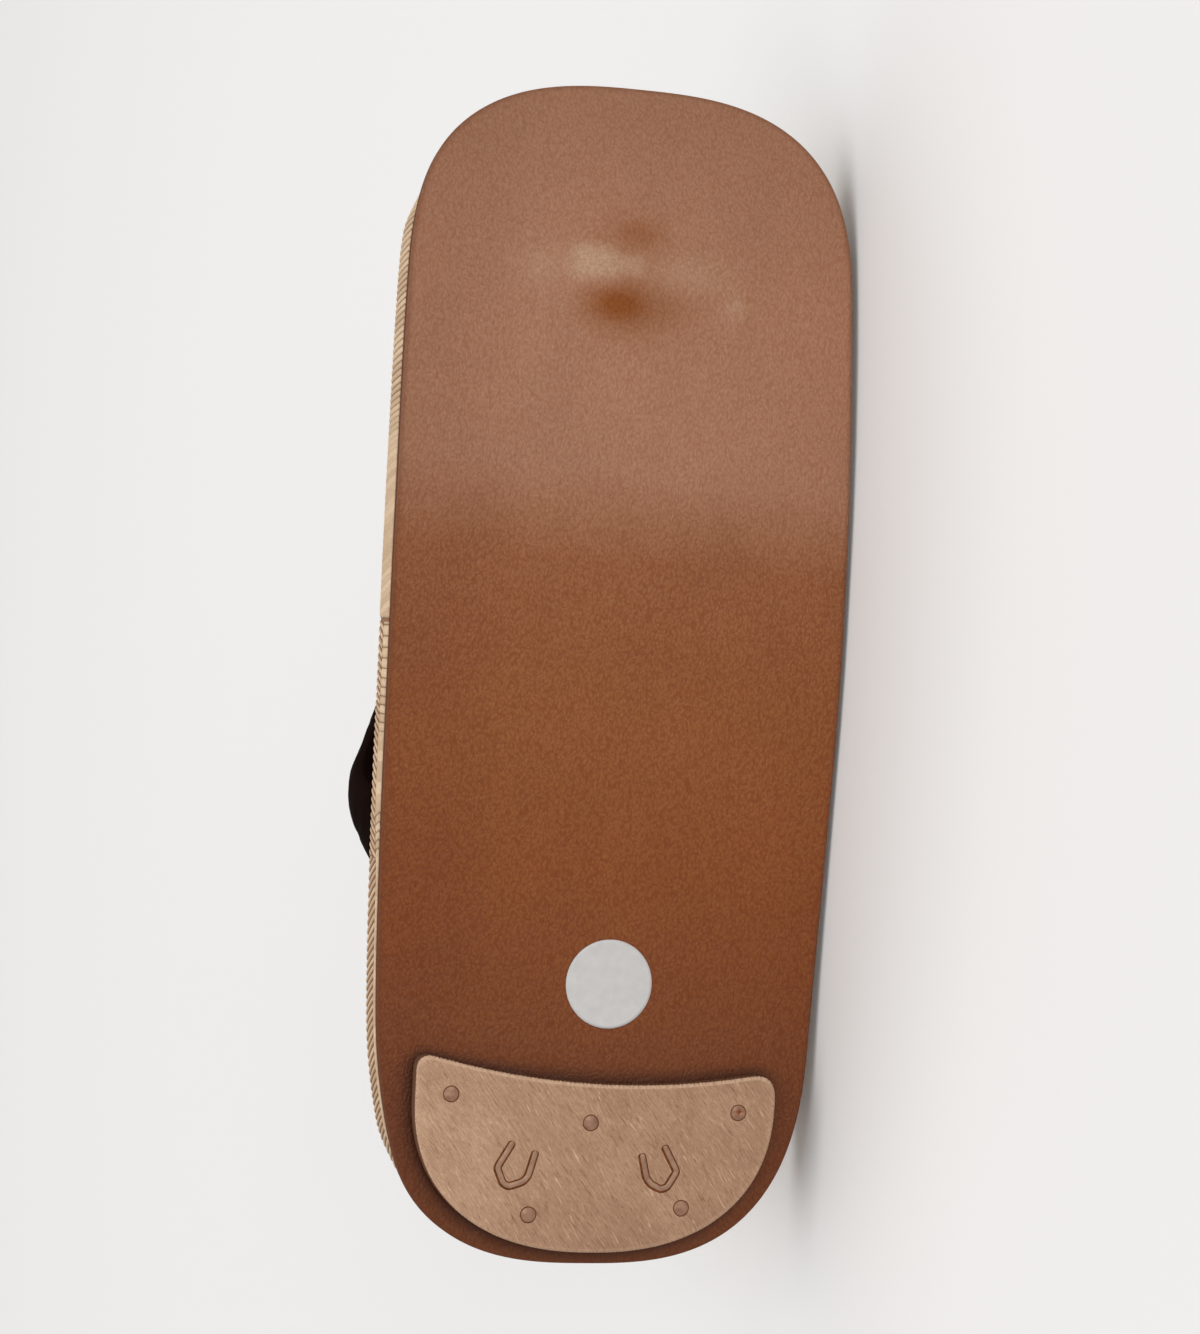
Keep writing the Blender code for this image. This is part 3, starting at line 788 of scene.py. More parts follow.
def awayFrom(ring, x, y):
    # distance to the nearest corner of a closed ring, less than nothing inside it; a metre for every place
    # far from the heel
    spots = np.stack([x.ravel(), y.ravel()], axis=1)
    away = np.full(len(spots), 1.0)
    out = sideways(ring)
    for part in np.array_split(np.nonzero(spots[:, 0] < 0.06)[0], 60):
        gaps = spots[part, None] - ring
        k = np.argmin((gaps**2).sum(axis=-1), axis=1)
        near = gaps[np.arange(len(part)), k]
        inside = (near * out[k]).sum(axis=1) < 0
        away[part] = np.linalg.norm(near, axis=1) * np.where(inside, -1, 1)
    return away.reshape(x.shape)


def makeOutsole():
    # rings from the middle line out over the face, round the edge, up the side and back over the hidden top
    ring = outline(outsoleShape["around"])
    spine = spineOf(ring)
    insets, heights, shares = slabRings(outsoleShape, 5, outsoleShape["side"])
    edge = ring - sideways(ring) * insets[:, None, None]
    flat = spine + (edge - spine) * shares[:, None, None]
    x, y = flat[..., 0], flat[..., 1]
    grid = over(x, y, heights[:, None])
    grid[..., 2] -= leatherRise(x, y)
    low, tall = outsoleShape["rimHeight"]
    # painted shade on the side, and a band of it along the face's edge
    rim = np.clip((heights - low) / tall, 0, 1) + nearRim(shares) ** 2 * outsoleShape["rimShade"]
    beside = np.clip(awayFrom(liftOutline(liftShape["around"]), x, y), 0, None)
    strength, power = outsoleShape["shadowFall"]
    values = {
        "rim": np.clip(rim, 0, 1)[:, None] * np.ones(len(ring)),
        # a painted highlight and painted shade round the knot
        "pale": np.clip(bells(outsoleShape["pale"], x, y), 0, 1),
        "deep": np.clip(bells(outsoleShape["deep"], x, y), 0, 1),
        # a painted shadow that fades with the distance from the lift
        "stain": strength * np.exp(-((beside / stepped(x, *outsoleShape["shadowReach"])) ** power)),
    }
    piece = addMesh("outsoleLeather", grid, brownLeather(), values=values)
    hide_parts("leather_outsole")


makeOutsole()
print("outsole")

plait = {
    "around": 2640,
    "wallRows": 19,
    "edge": 0.0014,  # radius of the rounded rim
    # spacing of the slanting strands, of the leaning ones and of the blocks
    "pitch": 0.00150,
    "leanPitch": 0.00175,
    "blockPitch": 0.0021,
    "depth": 0.00034,  # of the gaps between strands
    "bulge": 0.00025,  # of the wall on the inner side
    "back": (0.0003, 0.0006),  # the hidden inside: how far in from the lip, and how far below the top
    "jointX": 0.1373,
    "turnX": 0.0860,  # where the leaning strands change sides
    "leans": (0.62, -0.42),  # their run for each step up, behind and before that place
    # the same for the slanting strands and the blocks, then how high the blocks reach and how bold the
    # slanting strands are: low, how much more, from where and over what length
    "toeSlope": (0.12, 0.20, 0.185, -0.03),
    "blockSlope": (0.45, -0.45, 0.097, 0.006),
    "blockHeight": (0.0010, 0.0023, 0.080, 0.02),
    "bold": (0.30, 0.70, 0.170, 0.018),
    "allBlocks": 0.096,  # every block shows behind this place, and some before it
    "lip": 0.0046,  # how far the plait reaches in over the top
    "flare": 0.0005,  # how far the inner side's wall spreads at its top
    "tuck": 0.0011,  # and how far both ends draw in
    "ends": (0.016, 0.014, 0.2232, 0.012),  # where the spread starts and over what length, and so its end
}


def hashed(number, seed):
    # a repeatable scatter from 0 to 1 for each whole number
    return np.mod(np.abs(np.sin(number * 12.9898 + seed * 78.233)) * 43758.5453, 1)


def plaitFields(x, run, up):
    # running phases of the strands, which slant before the joint, and lean over blocks behind it, and
    # where each kind is
    wander = 0.25 * np.sin(run * 211) + 0.2 * np.sin(run * 87 + 1)
    slope = stepped(x, *plait["toeSlope"]) * ease((sole["length"] - x) / 0.014)
    leaning = np.where(x < plait["turnX"], *plait["leans"])
    blocks = (hashed(np.floor(run / 0.013), 5) > 0.4) | (x < plait["allBlocks"])
    patchy = 0.65 + 0.35 * hashed(np.floor(run / 0.009), 9)
    return {
        "slant": (run + slope * up) / plait["pitch"] + wander,
        "lean": (run + leaning * up) / plait["leanPitch"] + wander,
        "block": (run + stepped(x, *plait["blockSlope"]) * up) / plait["blockPitch"] + wander,
        "level": (up - stepped(x, *plait["blockHeight"])) * 1000,
        "wide": ease((x - plait["turnX"]) / 0.001) * blocks + 0 * up,
        "bold": stepped(x, *plait["bold"]) * patchy + 0 * up,
        "front": ease((x - plait["jointX"]) / 0.0012) + 0 * up,
        "joint": bell((x - plait["jointX"]) / 0.00045) + 0 * up,
    }


def crownOf(fields):
    # the same rule as the wall's material, for the mesh itself
    strand = lambda phase: np.abs(np.sin(np.pi * phase)) ** 0.6
    toe = 1 + (strand(fields["slant"]) - 1) * fields["bold"]
    block = 1 + (strand(fields["block"]) ** 0.5 - 1) * fields["wide"]
    upper = np.clip(fields["level"] / 0.3 + 0.5, 0, 1)
    seam = 0.55 * np.clip(1 - np.abs(fields["level"]) / 0.28, 0, 1)
    back = block * (1 - upper) + strand(fields["lean"]) ** 2 * upper - seam
    return np.clip(back + (toe - back) * fields["front"] - fields["joint"], 0, 1)


def plaitProfile():
    # up the side, over the rounded rim, in over the top and back down inside: inset, height, how far the face
    # has turned from upright, and the run over the shown part
    r = plait["edge"]
    wall = np.linspace(matLow, matHigh - r, plait["wallRows"])
    turn = np.linspace(0, np.pi / 2, 11)[1:]
    lip = np.linspace(r, plait["lip"], 6)[1:]
    backIn, backDown = plait["back"]
    inset = np.concatenate([0 * wall, r * (1 - np.cos(turn)), lip, [plait["lip"] + backIn] * 2])
    rim = matHigh - r + r * np.sin(turn)
    height = np.concatenate([wall, rim, 0 * lip + matHigh, [matHigh - backDown, matLow]])
    turned = np.concatenate([0 * wall, turn, 0 * lip + np.pi / 2])
    up = np.concatenate([[0], np.cumsum(np.hypot(np.diff(inset), np.diff(height)))])
    up[len(turned) :] = up[len(turned) - 1]
    return inset[:, None], height[:, None], turned[:, None], up[:, None]


def makePlaitedEdge():
    # the wall's profile carried round the outline, with every strand's crown standing out of it
    ring = outline(plait["around"])
    out = sideways(ring)
    run = runOf(ring)
    half = len(ring) // 2
    run = np.where(np.arange(len(ring)) <= half, run, run[half] - (run - run[half]))
    inset, height, turned, up = plaitProfile()
    shown = len(turned)
    x = ring[:, 0]
    fields = plaitFields(x, run, up)
    fade = np.ones((shown, 1))
    fade[0] = 0.3
    bulge = plait["bulge"] * np.sin(np.pi * np.clip(up[:shown] / 0.0085, 0, 1))
    mid = within(x, *plait["ends"])
    inner = ease(-out[:, 1] * 1.6)
    lift = (crownOf(fields)[:shown] - 1) * plait["depth"] * fade + bulge * inner
    spread = plait["flare"] * mid * inner * np.clip(height / matHigh, 0, 1) - plait["tuck"] * (1 - mid)
    insets = inset - spread
    heights = np.repeat(height, len(ring), axis=1)
    insets[:shown] -= lift * np.cos(turned)
    heights[:shown] += lift * np.sin(turned)
    flat = ring - out * insets[..., None]
    grid = offFloor(over(flat[..., 0], flat[..., 1], heights))
    piece = addMesh("plaitedEdge", grid, rushWall(), looped=True, values=fields, weld=False)
    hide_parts("woven_top")


makePlaitedEdge()
print("plaited edge")

matTop = {
    "rows": 330,
    "columns": 128,
    "rib": 0.0034,
    "stitch": 0.0017,
    "depth": 0.00032,
    "inset": 0.0042,
    "proud": 0.0001,
    # pressed places at the thong, the ball and the heel, as rows for bells()
    "pressed": (
        (0.2125, -0.0045, 0.0006, 0.008, 0.008, 2),
        (0.178, 0.0, 0.0005, 0.045, 0.033, 2),
        (0.050, 0.0, 0.0005, 0.032, 0.026, 2),
    ),
}


def makeMatTop():
    # rows across the mat from heel to toe, with ribs that run along it, and a flat underside
    x = sole["length"] / 2 * (1 - np.cos(np.linspace(0.0, np.pi, matTop["rows"])) * 0.966)
    share = np.linspace(-1, 1, matTop["columns"])
    reach = np.clip(halfWidth(x) - matTop["inset"], 0.0, None)
    y = middle(x)[:, None] + share * reach[:, None]
    xx = np.repeat(x[:, None], len(share), axis=1)
    rib = np.abs(np.cos(np.pi * y / matTop["rib"])) ** 0.6
    high = matHigh + (rib - 1) * matTop["depth"] - bells(matTop["pressed"], xx, y) + matTop["proud"]
    lower = over(xx, y, sole["leather"] + 2 * sole["gap"])
    grid = np.concatenate([over(xx, y, high), lower[:, ::-1]], axis=1)
    uv = np.stack([xx, y], axis=-1)
    uv = np.concatenate([uv, uv[:, ::-1]], axis=1)
    piece = addMesh("wovenTop", grid, rushTop(), uv=uv, weld=False, flip=True)
    ends = bmesh.new()
    ends.from_mesh(piece.data)
    bmesh.ops.holes_fill(ends, edges=[e for e in ends.edges if e.is_boundary], sides=0)
    bmesh.ops.recalc_face_normals(ends, faces=ends.faces)
    ends.to_mesh(piece.data)
    ends.free()
    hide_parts("woven_top")


makeMatTop()
print("mat top")


def makeLift():
    # rings from its centre out over the tread face, round a worn edge, up the fibrous side, back over the top
    s = liftShape
    ring = liftOutline(s["around"])
    out = sideways(ring)
    side = np.linspace(*s["side"])
    top, topInset = s["top"]
    sideRings = np.append(np.zeros(len(side) + 1), topInset), np.append(side, [top, top])
    insets, heights, shares = (rows[:, None] for rows in slabRings(s, 6, sideRings))
    place = np.arange(s["around"]) / s["around"] * 2 * np.pi
    frontness = np.clip(out[:, 0] * 1.6 - 0.3, 0, 1)
    waves, single = s["fibres"]
    fibres = waves * np.sin(place * 331) * np.sin(place * 97 + 1)
    fibres = fibres + single * (hashed(np.arange(s["around"]), 4) - 0.5)
    deep, close = s["layers"]
    shift = deep * np.sin(heights * close) + fibres * (0.4 + frontness)
    shift = shift * ((heights > 0.0001) & (heights < top))
    edge = ring - out * insets[..., None] + out * shift[..., None]
    flat = s["centre"] + (edge - s["centre"]) * shares[..., None]
    wave = s["waves"] * np.sin(flat[..., 0] * 420 + 1) * np.sin(flat[..., 1] * 310)
    z = heights + wave * (heights == 0)
    grid = np.concatenate([flat, z[..., None]], axis=-1)
    worn, more = s["wornAndLitRim"]
    broken = 0.775 + 0.225 * np.sign(np.sin(place * 210 + 3 * np.sin(place * 37)))
    # the pale rim: wear all round and a painted highlight on the front, broken into dashes
    rim = nearRim(shares) ** 1.5 * (worn + more * frontness) * broken * (heights < 0.0006)
    onEdge = np.clip((heights - 0.0003) / 0.0007, 0, 1) * np.ones(s["around"])
    piece = addMesh("heelLift", grid, rawLeather(), values={"rim": rim, "side": onEdge})
    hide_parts("heel_lift")


makeLift()
print("heel lift")

# nails: forward from the heel's end, towards the outer side, how far the head is turned
nails = {
    "places": (
        (0.0368, -0.0327, 0.4),
        (0.0311, -0.0015, 1.9),
        (0.0338, 0.0318, 2.6),
        (0.0112, -0.0145, 3.9),
        (0.0129, 0.0197, 5.0),
    ),
    "radius": 0.00160,
    "dome": 0.00016,
    "proud": 0.00005,
    # width of the painted shade round each head
    "seam": 0.00021,
    "seat": 0.0006,  # how deep in the lift the hidden underside lies
    "marks": 0.00002,
    "dented": 2,  # this one has a four-pointed rusty dent in its head
    "dent": 0.00030,
    "dentAt": (0.10, 0.16),  # in shares of the radius
}


def starOf(x, y):
    # how far into the four-pointed dent a place is, from its distance along both arms
    a, b = nails["dentAt"]
    return np.clip(1 - (np.abs(x - a) ** 0.7 + np.abs(y - b) ** 0.7) / 0.95, 0, 1)


def polar(rings, around):
    # angles round a disc, and each ring's share of its radius: out over the face, then the hidden side
    angle = -np.linspace(0, 2 * np.pi, around, endpoint=False)
    return angle, np.append(np.linspace(0, 1, rings), [1, 0])[:, None]


def disc(place, radius, rise, rings, around, dent=0.0):
    # a closed low dome whose height falls with the radius, with a shallow star-shaped dent
    cx, cy, turnBy = place
    angle, share = polar(rings, around)
    wobble = 1 + 0.012 * np.sin(3 * angle + turnBy) + 0.008 * np.sin(5 * angle + 2 * turnBy)
    x = cx + radius * share * (np.cos(angle) * wobble)
    y = cy + radius * share * (np.sin(angle) * wobble)
    marks = nails["marks"] * np.sin(4000 * (x - cx) + turnBy) * (share < 1)
    z = -nails["proud"] - rise * (1 - share**2.2) + marks
    z = z + dent * starOf((x - cx) / radius, (y - cy) / radius)
    z[-2:] = nails["seat"]
    return np.stack([x, y, z], axis=-1)


def makeNails():
    # five flat-domed heads, one for each packed nail
    metal = dullMetal("nailCopper", metalLook["nail"], 0.42)
    for number, place in enumerate(nails["places"]):
        dented = number == nails["dented"]
        rings, around, dent = (30, 96, nails["dent"]) if dented else (12, 48, 0.0)
        grid = disc(place, nails["radius"], nails["dome"], rings, around, dent)
        x, y = ((grid[..., k] - place[k]) / nails["radius"] for k in range(2))
        rust = np.clip(starOf(x, y) * 3, 0, 1) * dented
        piece = addMesh(f"nailHead{number + 1}", grid, metal, values={"stain": rust})
        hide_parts(f"heel_nail_{number + 1}")


plates = {
    # middle, and the bent path from one tip to the other
    "places": (
        (
            (0.0215, -0.0178),
            ((0.0054, -0.0007), (-0.0002, -0.0040), (-0.0035, -0.0026), (-0.0042, -0.0013),
             (-0.0032, 0.0018), (-0.0020, 0.0029), (0.0035, 0.0044)),
        ),
        (
            (0.0213, 0.0146),
            ((0.0034, -0.0043), (-0.0019, -0.0030), (-0.0033, -0.0018), (-0.0043, 0.0004),
             (-0.0038, 0.0018), (-0.0004, 0.0038), (0.0052, 0.0007)),
        ),
    ),
    "width": 0.0013,
    "proud": 0.00009,
    "seat": 0.0006,
    "shoulder": 0.00018,
    # the painted shade round each plate: its width, how proud it is and its shoulder
    "seam": 0.00018,
    "seamProud": 0.00003,
    "seamShoulder": 0.00001,
    "shadowBehind": 0.00016,  # how much thicker the painted shadow is behind the bend
}


def plateGrid(number, width, proud, shoulder, longer=0.0, back=0.0):
    # a flat bar with rounded shoulders and tips carried along its bent path, with the corners eased
    centre, path = plates["places"][number]
    path = np.array(path)
    path[[0, -1]] += unit(path[[0, -1]] - path[[1, -2]]) * longer
    run = runOf(path)
    line = pointsAt(np.linspace(0, run[-1], 90), run, path)
    kernel = np.hanning(9)[1:-1]
    kernel /= kernel.sum()
    padded = np.pad(line, ((3, 3), (0, 0)), mode="edge")
    line = np.stack([np.convolve(padded[:, k], kernel, "valid") for k in range(2)], axis=1)
    run = runOf(line)
    share = np.linspace(0, 1, 120)
    places = run[-1] * (share - 0.1 * np.sin(2 * np.pi * share))
    line = pointsAt(places, run, line)
    side = leftOf(np.gradient(line, axis=0))
    short = np.clip(1 - np.minimum(places, run[-1] - places) / (0.4 * width), 0, 1)
    full = 0.3 + 0.7 * np.sqrt(1 - short**2)
    w, low, eased = width / 2, plates["seat"], shoulder - proud
    across = np.array([-w, -w, shoulder - w, 0, w - shoulder, w, w])
    face = np.array([low, eased, -proud, -proud, -proud, eased, low])
    line = line + (np.array(centre) - back)
    spots = line[:, None] + side[:, None] * across[:, None] * full[:, None, None]
    z = np.broadcast_to(face, spots.shape[:2])
    return capped(np.concatenate([spots, z[..., None]], axis=-1))


def makePlates():
    # the two U-shaped plates
    metal = dullMetal("plateIron", metalLook["plate"], 0.50)
    for number in range(2):
        grid = plateGrid(number, plates["width"], plates["proud"], plates["shoulder"])
        piece = addMesh(f"heelPlate{number + 1}", grid, metal, flip=True)
        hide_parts(f"heel_staple_{number + 1}")


def makeSeams():
    # painted shade in the narrow gap round each nail and plate, as thin low sheets, with a painted shadow
    # behind each plate's bend
    material = shadedGap()
    for number, place in enumerate(nails["places"]):
        grid = disc(place, nails["radius"] + nails["seam"], 0.0, 4, 48)
        grid[..., 2] += 0.00002
        piece = addMesh(f"nailGapShade{number + 1}", grid, material)
    seam, behind = plates["seam"], plates["shadowBehind"]
    sheet = plates["width"] + 2 * seam + behind, plates["seamProud"], plates["seamShoulder"], seam, behind / 2
    for number in range(2):
        piece = addMesh(f"plateGapShade{number + 1}", plateGrid(number, *sheet), material, flip=True)


makeNails()
makePlates()
makeSeams()
print("nails and plates")

label = {"centre": (0.0608, 0.0024), "radius": 0.0097, "thick": 0.00012, "curl": 0.00010}


def makeLabel():
    # a bare paper disc that follows the sole, with its edge lifting a little
    angle, share = polar(16, 120)
    x = label["centre"][0] + label["radius"] * share * np.cos(angle)
    y = label["centre"][1] + label["radius"] * share * np.sin(angle)
    z = under(x) - (label["thick"] + label["curl"] * share**6 * (0.5 + 0.5 * np.sin(2 * angle + 1)))
    z[-2:] += label["thick"] * 0.8
    addMesh("paperLabel", np.stack([x, y, z], axis=-1), bareLabel())


makeLabel()
print("label")

# sections of one arm, from its end in the mat to the fold at the toe:
# forward, out from the middle, above the mat, width, thickness
arm = {
    "sections": (
        (0.0930, 0.0385, -0.0040, 0.0130, 0.0046),
        (0.0930, 0.0385, 0.0006, 0.0130, 0.0046),
        (0.0922, 0.0406, 0.0085, 0.0172, 0.0060),
        (0.0928, 0.0446, 0.0165, 0.0188, 0.0070),
        (0.0988, 0.0469, 0.0240, 0.0172, 0.0076),
        (0.1066, 0.0428, 0.0305, 0.0195, 0.0080),
        (0.1200, 0.0364, 0.0345, 0.0215, 0.0080),
        (0.1380, 0.0302, 0.0358, 0.0215, 0.0080),
        (0.1600, 0.0240, 0.0335, 0.0215, 0.0078),
        (0.1800, 0.0165, 0.0285, 0.0195, 0.0072),
        (0.1950, 0.0095, 0.0235, 0.0165, 0.0066),
        (0.2050, 0.0042, 0.0200, 0.0140, 0.0060),
        (0.2100, 0.0010, 0.0184, 0.0126, 0.0054),
    ),
    "steps": 14,
    "sides": 64,
    "footAxis": 0.010,
    # for the outer and the inner arm, bells that bring it in or let it out: forward, how far out, reach
    "bends": {
        1: ((0.110, -0.0014, 0.035),),
        -1: ((0.1210, 0.0007, 0.009), (0.1035, 0.0003, 0.006), (0.0900, 0.0006, 0.004)),
    },
    "leanStart": 0.140,
    "fill": 2.25,  # the section's superellipse power
    "uneven": 0.00016,  # height of the slow waves
    "gather": 0.00016,  # and of the gathers beside the seam
    "seamDip": 0.07,  # depth of the seam, in shares of the half thickness
    "piping": 0.025,  # how far the edges stand out, in shares of the half width
    "foldReach": 0.0010,
    # creases: share of the run, slant, depth, middle angle, reach round the section
    "folds": (
        (0.175, 0.0016, 0.00042, 1.9, 0.9),
        (0.205, -0.0012, 0.00050, 1.2, 1.1),
        (0.238, 0.0010, 0.00038, 2.3, 0.8),
        (0.300, -0.0015, 0.00022, 0.9, 0.7),
        (0.560, 0.0030, 0.00012, 1.6, 1.0),
        (0.845, -0.0018, 0.00022, 1.2, 0.9),
        (0.890, 0.0014, 0.00036, 1.8, 1.0),
        (0.925, -0.0010, 0.00042, 1.3, 1.2),
        (0.955, 0.0008, 0.00040, 2.0, 1.0),
    ),
}
thong = {
    "x": 0.2125,
    "y": -0.0045,
    # height over the mat, half depth along the sole, half width
    "profile": (
        (-0.0030, 0.0046, 0.0036),
        (0.0006, 0.0046, 0.0036),
        (0.0035, 0.0049, 0.0039),
        (0.0080, 0.0052, 0.0042),
        (0.0115, 0.0062, 0.0046),
        (0.0142, 0.0078, 0.0050),
        (0.0172, 0.0088, 0.0052),
        (0.0200, 0.0083, 0.0052),
        (0.0221, 0.0066, 0.0051),
        (0.0235, 0.0040, 0.0049),
        (0.0241, 0.0018, 0.0047),
        (0.0243, 0.0, 0.0045),
    ),
    "fill": 2.7,
    "pleat": 0.0019,  # spacing of the pleats that run round the loop
}


def throughAll(rows, steps):
    # a Catmull-Rom curve through rows of numbers
    rows = np.array(rows)
    k = np.arange((len(rows) - 1) * steps + 1) / steps
    i = np.minimum(k.astype(int), len(rows) - 2)
    t = (k - i)[:, None]
    p, q, r, s = (rows[np.clip(i + d, 0, len(rows) - 1)] for d in (-1, 0, 1, 2))
    return 0.5 * (2 * q + (r - p) * t + (2 * p - 5 * q + 4 * r - s) * t**2 + (3 * q - p - 3 * r + s) * t**3)


def fuller(wave, power):
    # a sine or cosine spread towards a square, which makes a superellipse
    return np.sign(wave) * np.abs(wave) ** (2 / power)


def leaning(x):
    # how far the middle between the arms is off the sole's, eased from the lean's start to the thong
    return thong["y"] * ease((x - arm["leanStart"]) / (thong["x"] - arm["leanStart"]))


def armLine(side):
    # a smooth curve through the sections of one arm: its middle, width and thickness
    rows = np.array(arm["sections"])
    x, out, rise = rows[:, 0], rows[:, 1].copy(), rows[:, 2]
    for middleX, further, reach in arm["bends"][side]:
        out += further * bell((x - middleX) / reach) * ease(rise / 0.020)
    spots = np.stack([x, side * out + leaning(x), topOf(x, matHigh) + rise], axis=1)
    return throughAll(np.concatenate([spots, rows[:, 3:]], axis=1), arm["steps"])


def wrinkles(run, angle, side, fromSeam):
    # slow waves, gathers beside the seam, and folds that run round at a slant with a low ridge on either side
    slow = np.sin(run * 190 + 1.4 * np.sin(angle) + side) * np.sin(run * 83 + 2 * np.cos(angle))
    gathers = np.sin(run * 2700 + 2.2 * np.sin(run * 310)) * bell(fromSeam / 0.55)
    rise = arm["uneven"] * slow + arm["gather"] * gathers
    for share, slant, deep, mid, reach in arm["folds"]:
        u = (run - share * run[-1] - slant * np.sin(2 * (angle - mid) + side)) / arm["foldReach"]
        rise = rise + deep * (0.55 * bell(u / 2.4) - bell(u)) * bell((angle - mid) / reach)
    return rise


def makeArm(name, side, cloth):
    # a padded section carried along the arm, fuller on its outer face, with edge seams and soft wrinkles
    curve = armLine(side)
    line, width, thick = curve[:, :3], curve[:, 3:4], curve[:, 4:]
    mat = topOf(line[:, 0], matHigh)
    along = np.gradient(line, axis=0)
    along[line[:, 2] < mat] = (0, 0, 1)
    along = unit(along)
    face = line - np.stack([line[:, 0], leaning(line[:, 0]), mat + arm["footAxis"]], axis=1)
    face = unit(face - along * (face * along).sum(axis=1, keepdims=True))
    across = np.cross(along, face)
    angle = np.linspace(0, 2 * np.pi, arm["sides"], endpoint=False)
    c, s = np.cos(angle), np.sin(angle)
    run = runOf(line)[:, None]
    fromSeam = np.abs(np.mod(angle + np.pi / 2 + np.pi, 2 * np.pi) - np.pi)
    seamLine = bell(fromSeam / 0.10)
    piping = bell((np.abs(c) - 1) / 0.012)
    swell = 1 + wrinkles(run, angle, side, fromSeam) / (thick / 2) - arm["seamDip"] * seamLine
    a = width / 2 * (fuller(c, arm["fill"]) + arm["piping"] * piping * np.sign(c))
    b = thick / 2 * fuller(s, arm["fill"]) * swell
    grid = offFloor(line[:, None] + across[:, None] * a[..., None] + face[:, None] * b[..., None])
    pad = lambda field: np.concatenate([field[:1], field, field[-1:]])
    uv = pad(np.stack(np.broadcast_arrays(run, angle * 0.004), axis=-1))
    seam = pad(np.repeat(seamLine[None], len(line), axis=0))
    piece = addMesh(name, capped(grid), cloth, uv=uv, values={"seam": seam})
    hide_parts("strap")


def makeThong(cloth):
    # a loop of pleated cloth that wraps the fold of the arms: level superellipses set out square to the mat,
    # closing to a line over the top
    height, deep, wide = throughAll(thong["profile"], 12).T[..., None]
    angle = -np.linspace(0, 2 * np.pi, 96, endpoint=False)
    x = np.clip(deep, 0, None) * fuller(np.cos(angle), thong["fill"])
    y = wide * fuller(np.sin(angle), thong["fill"])
    pleat = np.abs(np.sin(np.pi * (y / thong["pleat"] + 0.3 + 0.15 * np.sin(height * 400))))
    x = x * (1 - 0.055 * (1 - pleat) ** 2)
    h = np.repeat(height, len(angle), axis=1)
    spot = np.array(thong["x"])
    lean, base = float(tilt(spot)), float(topOf(spot, matHigh))
    gx = thong["x"] + x * math.cos(lean) - h * math.sin(lean)
    gz = base + x * math.sin(lean) + h * math.cos(lean)
    grid = np.stack([gx, thong["y"] + y, gz], axis=-1)
    foot = np.repeat(grid[:1].mean(axis=1, keepdims=True), len(angle), axis=1)
    pad = lambda field: np.concatenate([field[:1], field])
    # painted shade in the pleats' troughs, held in the seam value
    seam = pad(np.clip(1 - pleat * 3, 0, 1))
    uv = pad(np.stack([h, y], axis=-1))
    piece = addMesh("frontThong", np.concatenate([foot, grid]), cloth, uv=uv, values={"seam": seam})
    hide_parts("strap")


cloth = blackCloth()
makeArm("innerArm", -1, cloth)
makeArm("outerArm", 1, cloth)
makeThong(cloth)
print("strap")

studio = {
    "floor": (0.80, 0.79, 0.78),
    "reach": 6.0,
    "world": (1.0, 1.0, 1.0),
    "worldStrength": 0.45,
    # name: kind, place, aim, size in metres or angle in degrees, power
    "lights": {
        "lowSky": ("SUN", (0.33, -0.95, 0.105), (0.0, 0.0, 0.0), 40.0, 1.8),
        "overheadBox": ("AREA", (0.0, 0.1, 2.0), (0.0, 0.1, 0.0), 3.0, 40.0),
    },
}


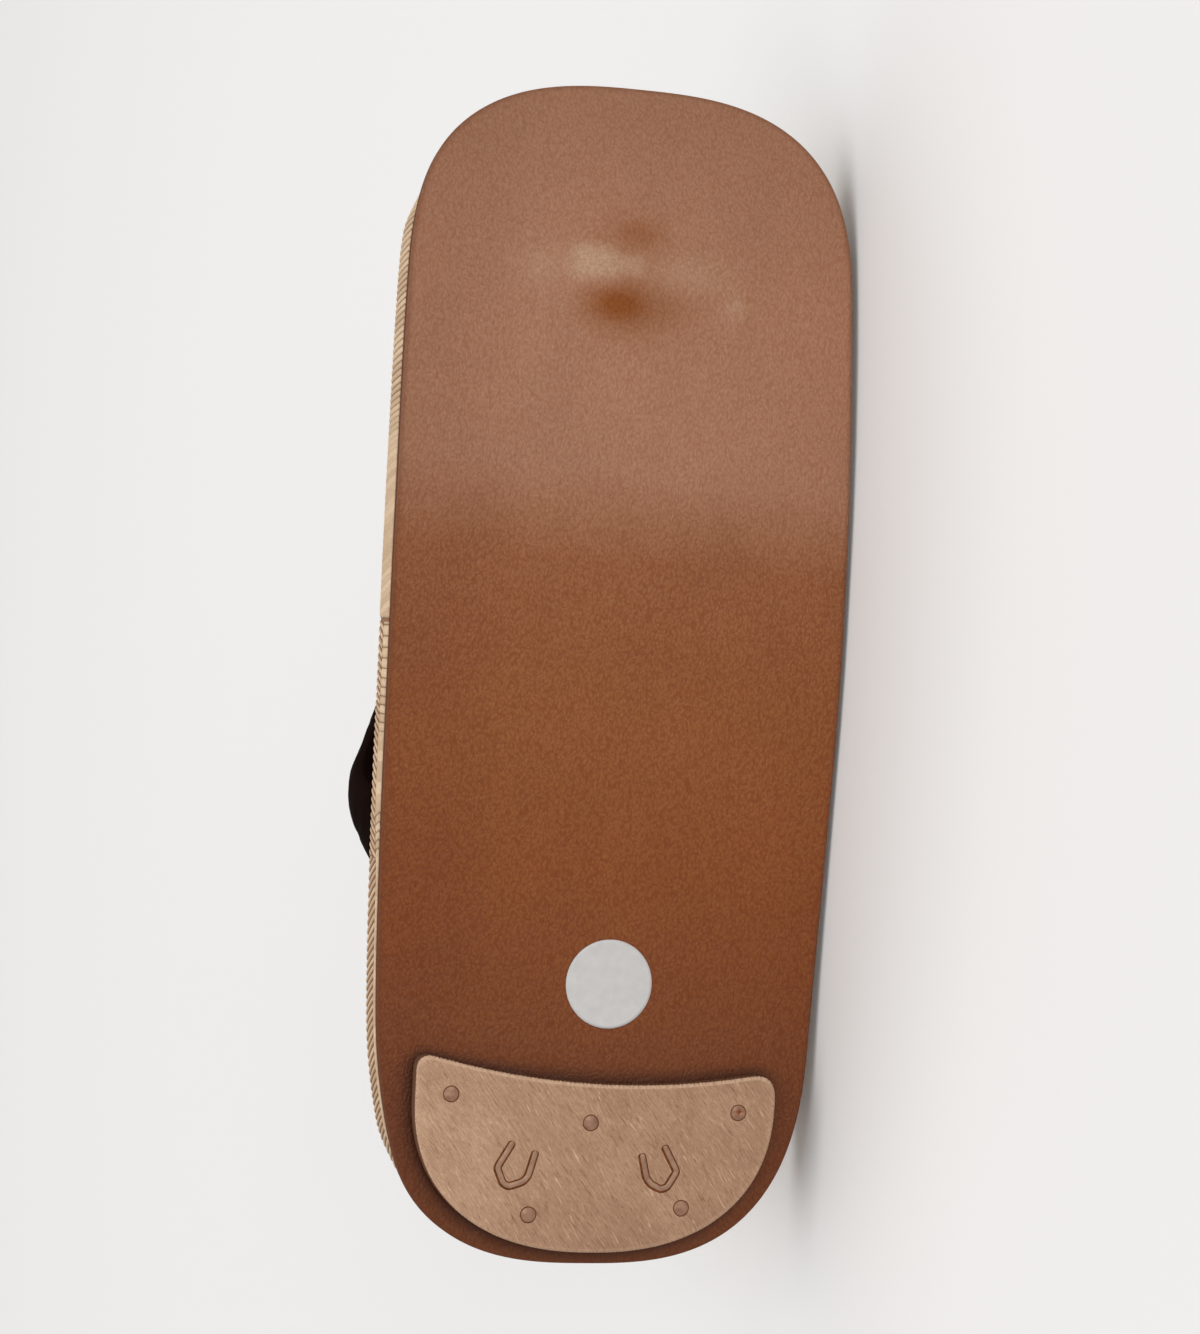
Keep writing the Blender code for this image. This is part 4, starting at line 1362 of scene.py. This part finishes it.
def makeStage():
    # a wide pale floor, one broad low light and a soft box overhead
    mesh = bpy.data.meshes.new("floor")
    r = studio["reach"]
    mesh.from_pydata([(-r, -r, 0), (r, -r, 0), (r, r, 0), (-r, r, 0)], [], [(0, 1, 2, 3)])
    floor = bpy.data.objects.new("floor", mesh)
    link(floor)
    add, coat = newMaterial("paleFloor")
    mesh.materials.append(coat(studio["floor"], 0.7, 0.2))
    floor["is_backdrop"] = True
    world = bpy.data.worlds.new("studio")
    world.use_nodes = True
    background = world.node_tree.nodes["Background"]
    wire(background, "Color", studio["world"])
    wire(background, "Strength", studio["worldStrength"])
    bpy.context.scene.world = world
    bpy.context.scene.view_settings.view_transform = "Standard"
    for name, (kind, place, aim, size, power) in studio["lights"].items():
        lamp = bpy.data.lights.new(name, kind)
        if kind == "SUN":
            lamp.angle = math.radians(size)
        else:
            lamp.size = size
        lamp.energy = power
        thing = bpy.data.objects.new(name, lamp)
        thing.location = place
        thing.rotation_euler = (Vector(aim) - Vector(place)).to_track_quat("-Z", "Y").to_euler()
        thing.visible_camera = False
        link(thing)


camera = {
    "aim": (0.129, 0.0, 0.0),
    "distance": 0.700,
    "innerSide": 15.13,  # degrees off the sole's normal towards the inner side
    "heelSide": 1.49,  # and towards the heel
    "roll": 2.69,
    "halfView": 0.20674,  # half the picture's height over the distance
    "slide": (-0.00406, 0.00082),  # right and up, which centres the sandal
}


def makeCamera():
    # set out from the standing sandal, then turned with it
    side, back, roll = (math.radians(camera[k]) for k in ("innerSide", "heelSide", "roll"))
    look = np.array([0, math.sin(side), math.cos(side)])
    inner = np.array([0, -math.cos(side), math.sin(side)])
    toe = np.array([1.0, 0, 0])
    look, toe = math.cos(back) * look + math.sin(back) * toe, math.cos(back) * toe - math.sin(back) * look
    up = math.cos(roll) * toe + math.sin(roll) * inner
    right = math.sin(roll) * toe - math.cos(roll) * inner
    slide = right * camera["slide"][0] + up * camera["slide"][1]
    lens = bpy.data.cameras.new("view")
    lens.sensor_width = 36
    lens.lens = 18 / camera["halfView"]
    lens.clip_start, lens.clip_end = 0.05, 30
    thing = bpy.data.objects.new("view", lens)
    thing.location = lay(np.array(camera["aim"]) - look * camera["distance"] + slide)
    axes = np.stack([layTurn @ right, layTurn @ up, -(layTurn @ look)], axis=1)
    thing.rotation_euler = Matrix(axes.tolist()).to_euler()
    link(thing)
    bpy.context.scene.camera = thing


makeStage()
makeCamera()
print("stage")

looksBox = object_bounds()
asLists = lambda pair: [[float(v) for v in corner] for corner in pair]
{"cad": asLists(cadBox), "visual": asLists(looksBox)}
